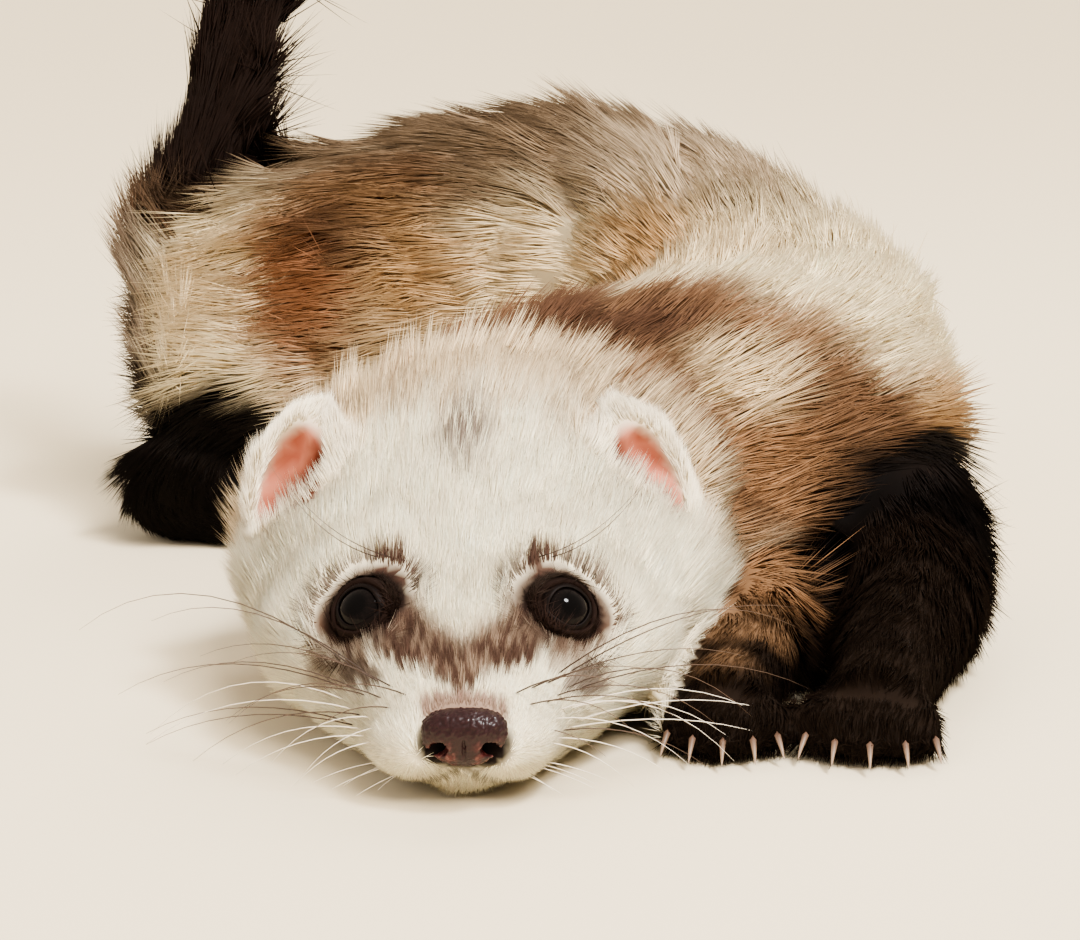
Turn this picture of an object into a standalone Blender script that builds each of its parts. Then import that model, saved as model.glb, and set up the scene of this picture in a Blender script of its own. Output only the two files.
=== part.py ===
"""A life-size ferret that lies with its chin on the floor and its body curled behind it in a C.

The trunk is one loft along the spine, parted by thin cuts into the pieces that a person would
name. The legs, ears and nose are lofts and ovals of their own, trimmed to lie against it. Sizes
are in millimetres here and metres in the scene. +X runs to the ferret's left, +Y from the nose to
the back, +Z up, and the floor is at z = 0.
"""

import math

import bmesh
import bpy
import numpy as np
from mathutils import Matrix, Vector
from mathutils.bvhtree import BVHTree

MM = 0.001
GAP = 0.3
FLOOR_DEPTH = 12.0

# The spine, from the muzzle to the rump: x, y, half width, underside, top, height of the widest
# point, and the power of the upper curve, where 1 is an ellipse and more is a sharper dome.
HEAD_X = -9.0
SPINE = [
    (HEAD_X, 2.4, 4.6, 4.6, 11.4, 8.0, 0.95),
    (HEAD_X, 5.0, 8.8, 2.4, 14.4, 8.2, 0.95),
    (HEAD_X, 10.0, 13.2, 0.4, 17.4, 8.8, 0.95),
    (HEAD_X, 16.0, 17.0, -0.6, 20.6, 9.8, 0.96),
    (HEAD_X, 22.0, 20.6, -0.6, 24.2, 11.0, 1.0),
    (HEAD_X, 30.0, 25.4, -0.4, 29.8, 13.5, 1.1),
    (-8.6, 39.0, 29.6, -0.2, 35.8, 16.0, 1.2),
    (-8.0, 48.0, 31.8, 0.0, 40.8, 18.0, 1.25),
    (-7.0, 57.5, 32.4, 0.0, 44.2, 19.5, 1.15),
    (-2.5, 68.0, 30.8, 0.0, 46.2, 20.0, 1.0),
    (5.5, 78.5, 29.8, -0.4, 47.0, 20.0, 0.92),
    (16.0, 88.5, 30.6, -0.6, 47.4, 20.0, 0.88),
    (27.5, 100.0, 31.6, -1.0, 47.6, 20.5, 0.86),
    (35.0, 115.0, 31.0, -1.0, 47.8, 21.5, 0.86),
    (37.5, 133.0, 28.0, -0.8, 50.0, 23.5, 0.86),
    (34.5, 150.0, 27.4, -0.6, 54.5, 26.5, 0.86),
    (25.0, 166.0, 27.2, -0.6, 60.8, 30.0, 0.86),
    (9.5, 176.5, 27.8, -0.6, 66.6, 32.5, 0.86),
    (-10.0, 178.5, 28.4, -0.6, 64.8, 32.0, 0.86),
    (-28.0, 172.5, 28.8, -0.6, 61.4, 30.0, 0.86),
    (-43.0, 161.5, 27.4, 0.6, 56.5, 28.5, 0.88),
    (-53.5, 150.5, 20.6, 7.0, 50.0, 28.5, 0.92),
    (-58.5, 143.5, 10.0, 18.0, 41.0, 29.5, 0.95),
]
SPINE_STEPS = 4
RING_POINTS = 40
UNDER_POWER = 0.86

# The tail, from inside the rump to its tip: x, y, z, radius.
TAIL = [
    (-50.5, 150.0, 31.0, 8.0),
    (-60.5, 155.0, 37.5, 9.4),
    (-62.0, 161.0, 46.0, 10.4),
    (-58.0, 167.0, 55.5, 11.2),
    (-53.0, 174.0, 68.5, 11.0),
    (-49.0, 181.0, 83.0, 10.0),
    (-45.5, 186.5, 98.0, 9.0),
    (-43.5, 190.5, 112.0, 8.0),
    (-42.2, 193.2, 124.5, 6.6),
    (-41.4, 195.0, 136.0, 4.4),
    (-41.0, 195.8, 144.5, 1.4),
]

# The legs as tubes, from inside the trunk to the foot: x, y, z, radius.
LEGS = {
    "fore_left": [
        (40.0, 98.0, 23.0, 16.0),
        (46.5, 88.0, 18.0, 14.5),
        (49.6, 76.0, 13.0, 12.2),
        (49.4, 61.0, 9.8, 10.4),
        (46.5, 47.0, 8.0, 8.8),
        (43.5, 36.0, 6.4, 7.4),
        (41.2, 27.0, 5.0, 6.2),
    ],
    "fore_right": [
        (17.0, 84.0, 12.0, 10.0),
        (24.0, 71.0, 9.6, 9.2),
        (28.2, 58.0, 8.2, 8.0),
        (27.6, 47.0, 7.0, 7.0),
        (25.2, 37.0, 5.8, 6.2),
        (22.8, 28.0, 4.8, 5.6),
    ],
    "hind_right": [
        (-50.0, 141.0, 13.0, 9.5),
        (-56.0, 137.5, 10.5, 9.5),
        (-59.0, 136.0, 8.0, 8.2),
        (-54.0, 134.0, 6.2, 7.0),
        (-46.0, 132.0, 5.2, 6.6),
        (-38.0, 131.5, 4.6, 6.2),
    ],
    "hind_left": [
        (-48.0, 186.0, 13.0, 9.5),
        (-54.0, 191.5, 10.5, 9.5),
        (-57.0, 194.0, 8.0, 8.2),
        (-51.0, 196.4, 6.2, 7.0),
        (-42.0, 199.5, 5.2, 6.6),
        (-34.0, 202.0, 4.6, 6.2),
    ],
}
LEG_POINTS = 20

# A foot: centre of the palm, direction of the toes in degrees from +X, half width, length.
FEET = {
    "fore_left": ((40.2, 27.5), -96.0, 8.0, 17.0),
    "fore_right": ((22.4, 28.5), -94.0, 7.0, 16.0),
    "hind_right": ((-36.0, 131.5), -4.0, 7.2, 21.0),
    "hind_left": ((-31.5, 202.5), 18.0, 7.2, 21.0),
}
TOES = 5
TOE_SPLAY = 15.0
TOE_RADIUS = 2.5
PALM_HEIGHT = 9.4
CLAW_LENGTH = 4.0
CLAW_POINTS = 5

# Muscles that stand out from the lofts: centre, radii and turn about Z in degrees.
MUSCLES = [
    ((-45.5, 148.5, 24.0), (19.0, 17.0, 22.0), 30.0),
    ((-47.0, 173.0, 24.0), (18.0, 16.0, 22.0), 40.0),
    ((42.0, 97.0, 24.0), (15.0, 19.0, 20.0), 35.0),
    ((HEAD_X + 13.5, 34.0, 12.4), (13.0, 17.0, 11.6), 0.0),
    ((HEAD_X - 13.5, 34.0, 12.4), (13.0, 17.0, 11.6), 0.0),
    ((HEAD_X + 5.4, 8.2, 7.0), (6.4, 7.6, 5.2), -18.0),
    ((HEAD_X - 5.4, 8.2, 7.0), (6.4, 7.6, 5.2), 18.0),
    ((HEAD_X, 10.4, 3.2), (6.2, 7.2, 3.4), 0.0),
]

# Rises and hollows of the face: x from the middle, y, z, reach, and how far out it pushes.
FACE_FORMS = [
    (12.4, 18.0, 19.0, 5.6, -1.1),
    (11.0, 25.5, 25.0, 4.6, 0.7),
    (0.0, 21.0, 24.0, 5.0, -0.5),
    (0.0, 11.0, 18.0, 3.6, 0.3),
    (5.2, 12.0, 16.0, 3.4, -0.4),
    (15.5, 20.5, 11.5, 5.0, 0.8),
    (12.8, 13.5, 8.5, 3.6, -0.9),
    (5.6, 5.0, 8.0, 3.0, 0.5),
    (0.0, 3.0, 3.6, 1.8, -0.7),
]

EYE = (11.2, 20.3, 17.9)
EYE_RADIUS = 3.8
EYE_WAY = (0.42, -0.70, 0.58)
LID = 0.9
LID_OPENING = (3.35, 2.85)
MOUTH = [(0.0, 2.6, 4.8), (1.8, 3.4, 3.8), (4.8, 6.0, 2.8), (8.8, 11.5, 2.6), (12.6, 18.0, 4.0)]
MOUTH_RADIUS = 0.5

NOSE = (0.5, 2.9, 8.7)
NOSE_RADII = (5.3, 3.5, 3.3)
NOSE_TAPER = 0.3
NOSTRIL = (2.9, -0.4, 7.8)

EAR = (21.8, 44.6, 28.9)
EAR_RADII = (6.9, 4.2, 10.9)
EAR_CUP = (4.4, 4.3, 8.2)
EAR_TURNS = (24.0, -12.0, -18.0)

# Cuts across the trunk, as places along the rows of SPINE and TAIL, and along each leg.
HEAD_CUT = 7.8
SPINE_CUTS = [10.3, 13.5, 16.4, 18.9]
TAIL_CUTS = [3.75, 5.3, 7.1]
LEG_CUTS = {"fore_left": 5.0, "fore_right": 4.05, "hind_right": 4.35, "hind_left": 4.35}
CUT_MARGIN = 3.0
TAIL_MARGIN = 6.0

# The coat of the trunk and tail: flat locks that taper, rooted in a core under the outline.
# Rows give the first and last place along the lofts, the count of rows and of locks in a row,
# the turns that a row spans in degrees, and the length, width and depth of a lock.
TRUNK_COAT = ((8.6, 18.6), 9, 6, (-8.0, 188.0), 38.0, 21.0, 2.2)
TAIL_COAT = ((3.3, 7.5), 5, 4, (0.0, 270.0), 25.0, 12.0, 2.6)
LOCK_RINGS = ((0.0, -0.9, 0.55), (0.38, 0.35, 1.0), (0.74, 0.66, 0.68))
LOCK_TIP = 1.1
LOCK_THICKNESS = 0.7
COAT_FADE = (2.0, 9.0)
COAT_MARGIN = 4.0
COAT_VOXEL = 0.8
SEED = 5

# A point near the middle of each piece of the trunk.
ANCHORS = {
    "neck": (-3.0, 68.0, 22.0),
    "chest": (26.0, 100.0, 23.0),
    "belly": (34.0, 148.0, 28.0),
    "loin": (-2.0, 177.0, 34.0),
    "rump": (-42.0, 160.0, 30.0),
    "tail_base": (-51.5, 177.0, 75.0),
    "tail_middle": (-46.5, 185.0, 96.0),
    "tail_tip": (-43.0, 192.0, 119.0),
}

VOXEL = 0.9
LEG_VOXEL = 0.6
HEAD_TRIANGLES = 3200
TRUNK_TRIANGLES = 4100
LEG_TRIANGLES = 560
SMALLEST_PIECE = 0.6

# Colour, roughness and metallic value of each kind of surface.
SURFACES = {
    "face_fur": ((0.72, 0.66, 0.52), 0.9, 0.0),
    "ear_fur": ((0.80, 0.70, 0.62), 0.9, 0.0),
    "neck_fur": ((0.30, 0.17, 0.09), 0.9, 0.0),
    "flank_fur": ((0.60, 0.46, 0.28), 0.9, 0.0),
    "rump_fur": ((0.45, 0.30, 0.15), 0.9, 0.0),
    "dark_fur": ((0.03, 0.018, 0.012), 0.9, 0.0),
    "nose_skin": ((0.09, 0.035, 0.03), 0.45, 0.0),
    "eye": ((0.01, 0.008, 0.008), 0.05, 0.0),
    "claw": ((0.62, 0.52, 0.42), 0.4, 0.0),
}
SURFACE_OF = {
    "head": "face_fur",
    "ear": "ear_fur",
    "neck": "neck_fur",
    "chest": "neck_fur",
    "belly": "flank_fur",
    "loin": "flank_fur",
    "rump": "rump_fur",
    "tail": "dark_fur",
    "leg": "dark_fur",
    "foot": "dark_fur",
    "nose": "nose_skin",
    "eye": "eye",
    "claw": "claw",
}


def clear_scene():
    for obj in list(bpy.data.objects):
        bpy.data.objects.remove(obj, do_unlink=True)


def object_from(name, bm):
    """A scene object from a bmesh, which is used up."""
    bmesh.ops.recalc_face_normals(bm, faces=bm.faces)
    mesh = bpy.data.meshes.new(name)
    bm.to_mesh(mesh)
    bm.free()
    obj = bpy.data.objects.new(name, mesh)
    bpy.context.scene.collection.objects.link(obj)
    return obj


def bmesh_of(obj):
    bm = bmesh.new()
    bm.from_mesh(obj.data)
    return bm


def joined(name, shapes):
    """The bmeshes as one object of several closed shells."""
    whole = bmesh.new()
    for shape in shapes:
        bmesh.ops.recalc_face_normals(shape, faces=shape.faces)
        mesh = bpy.data.meshes.new(name)
        shape.to_mesh(mesh)
        shape.free()
        whole.from_mesh(mesh)
        bpy.data.meshes.remove(mesh)
    return object_from(name, whole)


def applied(obj):
    """The object with its modifiers made part of its mesh."""
    graph = bpy.context.evaluated_depsgraph_get()
    mesh = bpy.data.meshes.new_from_object(obj.evaluated_get(graph))
    old = obj.data
    obj.modifiers.clear()
    obj.data = mesh
    bpy.data.meshes.remove(old)
    return obj


def dropped(obj):
    bpy.data.objects.remove(obj, do_unlink=True)


def combined(obj, other, operation="DIFFERENCE", solver="EXACT"):
    """The object cut by the other, or joined to it. The other is used up."""
    step = obj.modifiers.new("step", "BOOLEAN")
    step.operation = operation
    step.solver = solver
    step.object = other
    applied(obj)
    dropped(other)
    return obj


def smooth_rows(rows, steps):
    """The rows read at so many steps a span, on one smooth curve through them all."""
    rows = np.array(rows, float)
    ends = np.vstack([2 * rows[0] - rows[1], rows, 2 * rows[-1] - rows[-2]])
    read = []
    for i in range(len(rows) - 1):
        a, b, c, d = ends[i : i + 4]
        for t in np.arange(steps) / steps:
            bend = (2 * a - 5 * b + 4 * c - d) * t**2 + (3 * b - a - 3 * c + d) * t**3
            read.append(0.5 * (2 * b + (c - a) * t + bend))
    return np.array(read + [rows[-1]])


def row_at(rows, place):
    """The row at a place between the given ones, and the way that the curve runs there."""
    steps = 20
    fine = smooth_rows(rows, steps)
    i = int(round(place * steps))
    size = 2 if rows is SPINE else 3
    way = Vector([*(fine[i + 1, :size] - fine[i - 1, :size]), 0.0][:3])
    return fine[i], way.normalized()


def loft(rings):
    """A closed bmesh through rings of points, with a fan over each end."""
    bm = bmesh.new()
    made = [[bm.verts.new(p) for p in ring] for ring in rings]
    count = len(made[0])
    for near, far in zip(made, made[1:]):
        for i in range(count):
            j = (i + 1) % count
            bm.faces.new((near[i], near[j], far[j], far[i]))
    for ring in (made[0], made[-1]):
        hub = bm.verts.new(sum((v.co for v in ring), Vector()) / count)
        for i in range(count):
            bm.faces.new((ring[i], ring[(i + 1) % count], hub))
    return bm


def spine_ring(row, way):
    """The points of the trunk's section at a row, level and square to the way that it runs."""
    x, y, width, under, top, widest, power = row
    turn = np.linspace(0, 2 * math.pi, RING_POINTS, endpoint=False)
    powers = np.where(np.sin(turn) > 0, power, UNDER_POWER)
    side = np.sign(np.cos(turn)) * np.abs(np.cos(turn)) ** powers * width
    lift = np.sign(np.sin(turn)) * np.abs(np.sin(turn)) ** powers
    height = widest + np.where(lift > 0, top - widest, widest - under) * lift
    return np.stack([x + way[1] * side, y - way[0] * side, height], axis=1)


def spine_loft():
    rows = smooth_rows(SPINE, SPINE_STEPS)
    ways = np.gradient(rows[:, :2], axis=0)
    ways /= np.linalg.norm(ways, axis=1)[:, None]
    return loft([spine_ring(row, way) for row, way in zip(rows, ways)])


def tube_loft(rows, points=LEG_POINTS, steps=SPINE_STEPS):
    """A round tube through rows of x, y, z and radius."""
    rows = smooth_rows(rows, steps)
    ways = np.gradient(rows[:, :3], axis=0)
    rings = []
    across = Vector((0, 0, 1))
    for (x, y, z, radius), way in zip(rows, ways):
        way = Vector(way).normalized()
        across = (across - way * across.dot(way)).normalized()
        other = way.cross(across)
        ring = []
        for i in range(points):
            turn = 2 * math.pi * i / points
            out = across * math.cos(turn) + other * math.sin(turn)
            ring.append(Vector((x, y, z)) + out * radius)
        rings.append(ring)
    return loft(rings)


def oval(radii, placed, segments=24, rings=14):
    """An ellipsoid whose own axes are set by the matrix."""
    bm = bmesh.new()
    bmesh.ops.create_uvsphere(bm, u_segments=segments, v_segments=rings, radius=1.0)
    bmesh.ops.transform(bm, matrix=placed @ Matrix.Diagonal((*radii, 1.0)), verts=bm.verts)
    return bm


def turned(centre, degrees=0.0):
    """A matrix that moves to the centre and turns about Z."""
    return Matrix.Translation(centre) @ Matrix.Rotation(math.radians(degrees), 4, "Z")


def facing(centre, way):
    """A matrix at the centre whose own Z points the given way and whose X stays level."""
    way = Vector(way).normalized()
    level = Vector((-way.y, way.x, 0.0)).normalized()
    axes = Matrix((level, way.cross(level), way)).transposed()
    return Matrix.Translation(centre) @ axes.to_4x4()


def slab(centre, way, width, height):
    """A thin upright oval plate, for a cut as wide as the gap."""
    bm = bmesh.new()
    bmesh.ops.create_cone(
        bm, cap_ends=True, segments=40, radius1=1.0, radius2=1.0, depth=GAP
    )
    placed = facing(centre, way) @ Matrix.Diagonal((width, height, 1.0, 1.0))
    bmesh.ops.transform(bm, matrix=placed, verts=bm.verts)
    return bm


def one_skin(name, shapes, voxel, passes):
    """The shapes remeshed into one closed skin and smoothed."""
    return remeshed(joined(name, shapes), voxel, passes)


def remeshed(obj, voxel, passes):
    """The object rebuilt from even cells, which fuses what overlaps, then smoothed."""
    remesh = obj.modifiers.new("one_skin", "REMESH")
    remesh.mode = "VOXEL"
    remesh.voxel_size = voxel
    soften = obj.modifiers.new("soften", "SMOOTH")
    soften.factor = 0.5
    soften.iterations = passes
    return applied(obj)


def thinned(obj, triangles):
    """The object with about so many triangles."""
    obj.data.calc_loop_triangles()
    thin = obj.modifiers.new("thin_out", "DECIMATE")
    thin.ratio = triangles / len(obj.data.loop_triangles)
    thin.use_collapse_triangulate = True
    return applied(obj)


def points_of(obj):
    points = np.empty(len(obj.data.vertices) * 3, np.float32)
    obj.data.vertices.foreach_get("co", points)
    return points.reshape(-1, 3).astype(float)


def set_points(obj, points):
    obj.data.vertices.foreach_set("co", points.astype(np.float32).ravel())
    obj.data.update()


def normals_of(obj):
    normals = np.empty(len(obj.data.vertices) * 3, np.float32)
    obj.data.vertices.foreach_get("normal", normals)
    return normals.reshape(-1, 3).astype(float)


def swollen(obj, amount=GAP):
    """A copy of the object, pushed out along its normals."""
    copy = bpy.data.objects.new("swollen", obj.data.copy())
    bpy.context.scene.collection.objects.link(copy)
    set_points(copy, points_of(obj) + normals_of(obj) * amount)
    return copy


def sculpted(obj):
    """The face's rises and hollows pushed into the fine skin, the same on both sides."""
    points = points_of(obj)
    normals = normals_of(obj)
    push = np.zeros(len(points))
    for x, y, z, reach, amount in FACE_FORMS:
        for side in {x, -x}:
            away = np.linalg.norm(points - (HEAD_X + side, y, z), axis=1)
            push += amount * np.exp(-((away / reach) ** 2))
    set_points(obj, points + normals * push[:, None])
    return obj


def half(obj, name, point, way):
    """The part of the object on the side that the way points to, closed with a flat face."""
    bm = bmesh_of(obj)
    cut = bmesh.ops.bisect_plane(
        bm,
        geom=bm.verts[:] + bm.edges[:] + bm.faces[:],
        plane_co=point,
        plane_no=way,
        clear_inner=True,
    )
    rim = [edge for edge in cut["geom_cut"] if isinstance(edge, bmesh.types.BMEdge)]
    bmesh.ops.edgeloop_fill(bm, edges=rim)
    return object_from(name, bm)


def loose_parts(obj):
    """Each closed shell of the object as its own bmesh, small slivers left out."""
    whole = bmesh_of(obj)
    dropped(obj)
    bmesh.ops.triangulate(whole, faces=whole.faces[:])
    left = set(whole.verts)
    parts = []
    while left:
        shell = set()
        edge_of_search = [left.pop()]
        while edge_of_search:
            vert = edge_of_search.pop()
            shell.add(vert)
            for edge in vert.link_edges:
                other = edge.other_vert(vert)
                if other in left:
                    left.discard(other)
                    edge_of_search.append(other)
        part = whole.copy()
        whole.verts.index_update()
        kept = {vert.index for vert in shell}
        part.verts.ensure_lookup_table()
        others = [vert for i, vert in enumerate(part.verts) if i not in kept]
        bmesh.ops.delete(part, geom=others, context="VERTS")
        if part.calc_volume() > SMALLEST_PIECE:
            parts.append(part)
        else:
            part.free()
    whole.free()
    return sorted(parts, key=lambda part: -part.calc_volume())


def middle(bm):
    return sum((vert.co for vert in bm.verts), Vector()) / len(bm.verts)


def floor_block():
    bm = bmesh.new()
    bmesh.ops.create_cube(bm, size=1.0)
    shape = Matrix.Translation((0.0, 110.0, -FLOOR_DEPTH / 2))
    shape = shape @ Matrix.Diagonal((400.0, 500.0, FLOOR_DEPTH, 1.0))
    bmesh.ops.transform(bm, matrix=shape, verts=bm.verts)
    return object_from("floor_block", bm)


def make_trunk():
    """The head and the rest of the trunk, as two closed objects with a flat gap between them."""
    shapes = [spine_loft(), tube_loft(TAIL)]
    shapes += [oval(radii, turned(centre, turn)) for centre, radii, turn in MUSCLES]
    trunk = sculpted(one_skin("trunk", shapes, VOXEL, 14))
    row, way = row_at(SPINE, HEAD_CUT)
    point = Vector((row[0], row[1], 0.0))
    head = half(trunk, "head", point - way * GAP / 2, -way)
    long = half(trunk, "long", point - way * COAT_MARGIN, way)
    dropped(trunk)
    coat = coated(long)
    rest = half(coat, "rest", point + way * GAP / 2, way)
    dropped(coat)
    return thinned(head, HEAD_TRIANGLES), thinned(rest, TRUNK_TRIANGLES)


def toe_rows(foot, index):
    """The rows of one toe's tube, then its tip and the way that it points."""
    (px, py), way, half_width, length = FEET[foot]
    spread = (index / (TOES - 1) - 0.5) * 2
    turn = math.radians(way - spread * TOE_SPLAY)
    forward = np.array([math.cos(math.radians(way)), math.sin(math.radians(way))])
    aside = np.array([forward[1], -forward[0]])
    out = np.array([math.cos(turn), math.sin(turn)])
    reach = length * (0.52 - 0.16 * spread**2)
    root = np.array([px, py]) + aside * spread * (half_width - TOE_RADIUS)
    tip = root + out * reach
    knuckle = root + out * reach * 0.62
    rows = [
        (*root, 4.2, TOE_RADIUS * 1.05),
        (*knuckle, 4.6, TOE_RADIUS * 1.05),
        (*tip, 2.3, TOE_RADIUS),
    ]
    return rows, tip, out


def make_leg(name):
    """A leg with its foot in one skin."""
    (px, py), way, half_width, length = FEET[name]
    palm = oval(
        (length * 0.5, half_width, PALM_HEIGHT / 2),
        turned((px, py, PALM_HEIGHT / 2 - 1.2), way),
    )
    shapes = [tube_loft(LEGS[name]), palm]
    for index in range(TOES):
        rows, tip, _ = toe_rows(name, index)
        shapes.append(tube_loft(rows, 14, 4))
        shapes.append(oval((TOE_RADIUS,) * 3, turned((*tip, 2.3)), 14, 8))
    return thinned(one_skin("leg_" + name, shapes, LEG_VOXEL, 5), LEG_TRIANGLES)


def make_claws(name, leg):
    """The claws of a foot, one closed shell each, trimmed clear of the toes."""
    shapes = []
    for index in range(TOES):
        _, tip, out = toe_rows(name, index)
        rows = []
        for along, height, radius in (
            (-0.2, 2.7, 1.0),
            (0.35, 3.0, 0.9),
            (0.75, 2.3, 0.6),
            (1.0, 1.0, 0.12),
        ):
            rows.append((*(tip + out * (TOE_RADIUS + CLAW_LENGTH * along - 1.2)), height, radius))
        shapes.append(tube_loft(rows, CLAW_POINTS, 1))
    return combined(joined("claws", shapes), swollen(leg))


def make_legs(trunk_parts):
    """Each leg trimmed to lie against the trunk, parted into leg and foot, and its claws."""
    pieces = {}
    for name in LEGS:
        leg = make_leg(name)
        claws = loose_parts(make_claws(name, leg))
        ends = name.split("_")
        for number, claw in enumerate(sorted(claws, key=lambda bm: middle(bm).x)):
            pieces[f"claw_{name}_{number + 1}"] = claw
        for part in trunk_parts:
            combined(leg, swollen(part))
        row, way = row_at(LEGS[name], LEG_CUTS[name])
        reach = row[3] + CUT_MARGIN
        combined(leg, object_from("cut", slab(row[:3], way, reach, reach)))
        combined(leg, floor_block())
        parts = loose_parts(leg)[:2]
        toes = Vector((*FEET[name][0], 0.0))
        parts.sort(key=lambda bm: (middle(bm) - toes).length)
        pieces[f"foot_{name}"] = parts[0]
        pieces[f"leg_{name}"] = parts[1]
    return pieces


def make_eye(head, side):
    """One eye: lids raised round it on the head, a socket behind it, and the eyeball itself."""
    centre = Vector((HEAD_X + side * EYE[0], EYE[1], EYE[2]))
    way = Vector((side * EYE_WAY[0], EYE_WAY[1], EYE_WAY[2])).normalized()
    placed = facing(centre, way)
    lid = EYE_RADIUS + LID
    combined(head, object_from("lid", oval((lid,) * 3, placed, 18, 10)), "UNION")
    socket = EYE_RADIUS + GAP
    combined(head, object_from("socket", oval((socket,) * 3, placed, 18, 10)))
    opening = oval((*LID_OPENING, 3.0), facing(centre + way * (lid - 0.2), way), 20, 12)
    combined(head, object_from("opening", opening))
    return oval((EYE_RADIUS,) * 3, placed, 18, 10)


def carve_mouth(head):
    """A thin groove on the skin, from under the nose to both corners of the mouth."""
    bm = bmesh_of(head)
    tree = BVHTree.FromBMesh(bm)
    bm.free()
    right = [(HEAD_X - x, y, z) for x, y, z in reversed(MOUTH[1:])]
    left = [(HEAD_X + x, y, z) for x, y, z in MOUTH]
    rows = [(*tree.find_nearest(point)[0], MOUTH_RADIUS) for point in right + left]
    return combined(head, object_from("mouth", tube_loft(rows, 8, 3)))


def make_nose(head):
    """The nose pad, with its two nostrils and the groove between them."""
    centre = Vector((HEAD_X + NOSE[0], NOSE[1], NOSE[2]))
    bm = oval(NOSE_RADII, Matrix.Identity(4), 20, 12)
    for vert in bm.verts:
        x, y, z = vert.co
        fuller = Vector((x, y, z)) / max(1e-6, (abs(x / NOSE_RADII[0]) ** 2.6
                         + abs(y / NOSE_RADII[1]) ** 2.6 + abs(z / NOSE_RADII[2]) ** 2.6) ** (1 / 2.6))
        fuller.x *= 1 + NOSE_TAPER * min(0.0, fuller.z / NOSE_RADII[2])
        vert.co = fuller + centre
    nose = object_from("nose", bm)
    for side in (-1, 1):
        hole = centre + Vector((side * NOSTRIL[0], 0.0, 0.0))
        hole.y, hole.z = NOSTRIL[1], NOSTRIL[2]
        round_part = oval((1.25, 2.6, 1.0), turned(hole), 14, 8)
        slit = oval((1.7, 2.4, 0.5), turned(hole + Vector((side * 1.7, 0.6, -0.5)), side * 40), 14, 8)
        combined(nose, object_from("nostril", round_part))
        combined(nose, object_from("nostril", slit))
    groove = centre + Vector((0.0, -NOSE_RADII[1] - 0.1, -1.6))
    combined(nose, object_from("groove", oval((0.4, 0.7, 2.4), turned(groove), 12, 8)))
    combined(nose, swollen(head))
    return loose_parts(nose)[0]


def make_ear(side, trunk_parts):
    """An ear cup with a thick rim, lying against the head."""
    yaw, pitch, roll = (math.radians(turn) for turn in EAR_TURNS)
    placed = Matrix.Translation((HEAD_X + side * EAR[0], EAR[1], EAR[2]))
    placed = placed @ Matrix.Rotation(side * yaw, 4, "Z") @ Matrix.Rotation(pitch, 4, "X")
    placed = placed @ Matrix.Rotation(side * roll, 4, "Y")
    ear = object_from("ear", oval(EAR_RADII, placed, 20, 14))
    cup = placed @ Matrix.Translation((side * 0.4, -EAR_RADII[1] - 0.4, -0.6))
    combined(ear, object_from("cup", oval(EAR_CUP, cup, 16, 10)))
    for part in trunk_parts:
        combined(ear, swollen(part))
    return loose_parts(ear)[0]


def faded(low, high, value):
    t = np.clip((value - low) / (high - low), 0.0, 1.0)
    return t * t * (3 - 2 * t)


def coat_share(points):
    """1 where the trunk carries locks, fading to 0 at the legs, the head and the underside."""
    low, high = COAT_FADE
    share = faded(low, high, points[:, 2])
    row, way = row_at(SPINE, HEAD_CUT)
    share *= faded(0.0, high, (points - np.array([row[0], row[1], 0.0])) @ np.array(way))
    for rows in LEGS.values():
        fine = smooth_rows(rows, SPINE_STEPS)
        away = np.linalg.norm(points[:, None] - fine[None, :, :3], axis=2) - fine[None, :, 3]
        share *= faded(low, high, away.min(axis=1))
    return share


def coat_depth(points):
    """How far the core lies under the outline at each point."""
    tail = faded(-2.0, 6.0, points[:, 2] - 52.0 + (points[:, 0] + 50.0) * 0.6)
    tail *= points[:, 0] < -25.0
    depth = TRUNK_COAT[-1] * (1 - tail) + TAIL_COAT[-1] * tail
    return depth * coat_share(points) * faded(-4.0, 9.0, TAIL[-1][2] - points[:, 2])


def lock(tree, root, way, length, width, depth):
    """One closed flat lock on the core, its root sunk in and its tip at the outline."""
    spots = []
    for along, height, wide in LOCK_RINGS + ((1.0, LOCK_TIP, 0.0),):
        spot, normal, _, _ = tree.find_nearest(root + way * length * along)
        spots.append((spot + normal * height * depth, normal, wide * width / 2))
    half = LOCK_THICKNESS * depth / 2
    rings = []
    for centre, normal, wide in spots[:-1]:
        side = way.cross(normal).normalized()
        rings.append(
            [centre + side * wide, centre + normal * half, centre - side * wide, centre - normal * half]
        )
    bm = bmesh.new()
    made = [[bm.verts.new(point) for point in ring] for ring in rings]
    tip = bm.verts.new(spots[-1][0])
    bm.faces.new(made[0])
    for near, far in zip(made, made[1:]):
        for i in range(4):
            j = (i + 1) % 4
            bm.faces.new((near[i], near[j], far[j]))
            bm.faces.new((near[i], far[j], far[i]))
    for i in range(4):
        bm.faces.new((made[-1][i], made[-1][(i + 1) % 4], tip))
    return bm


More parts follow.
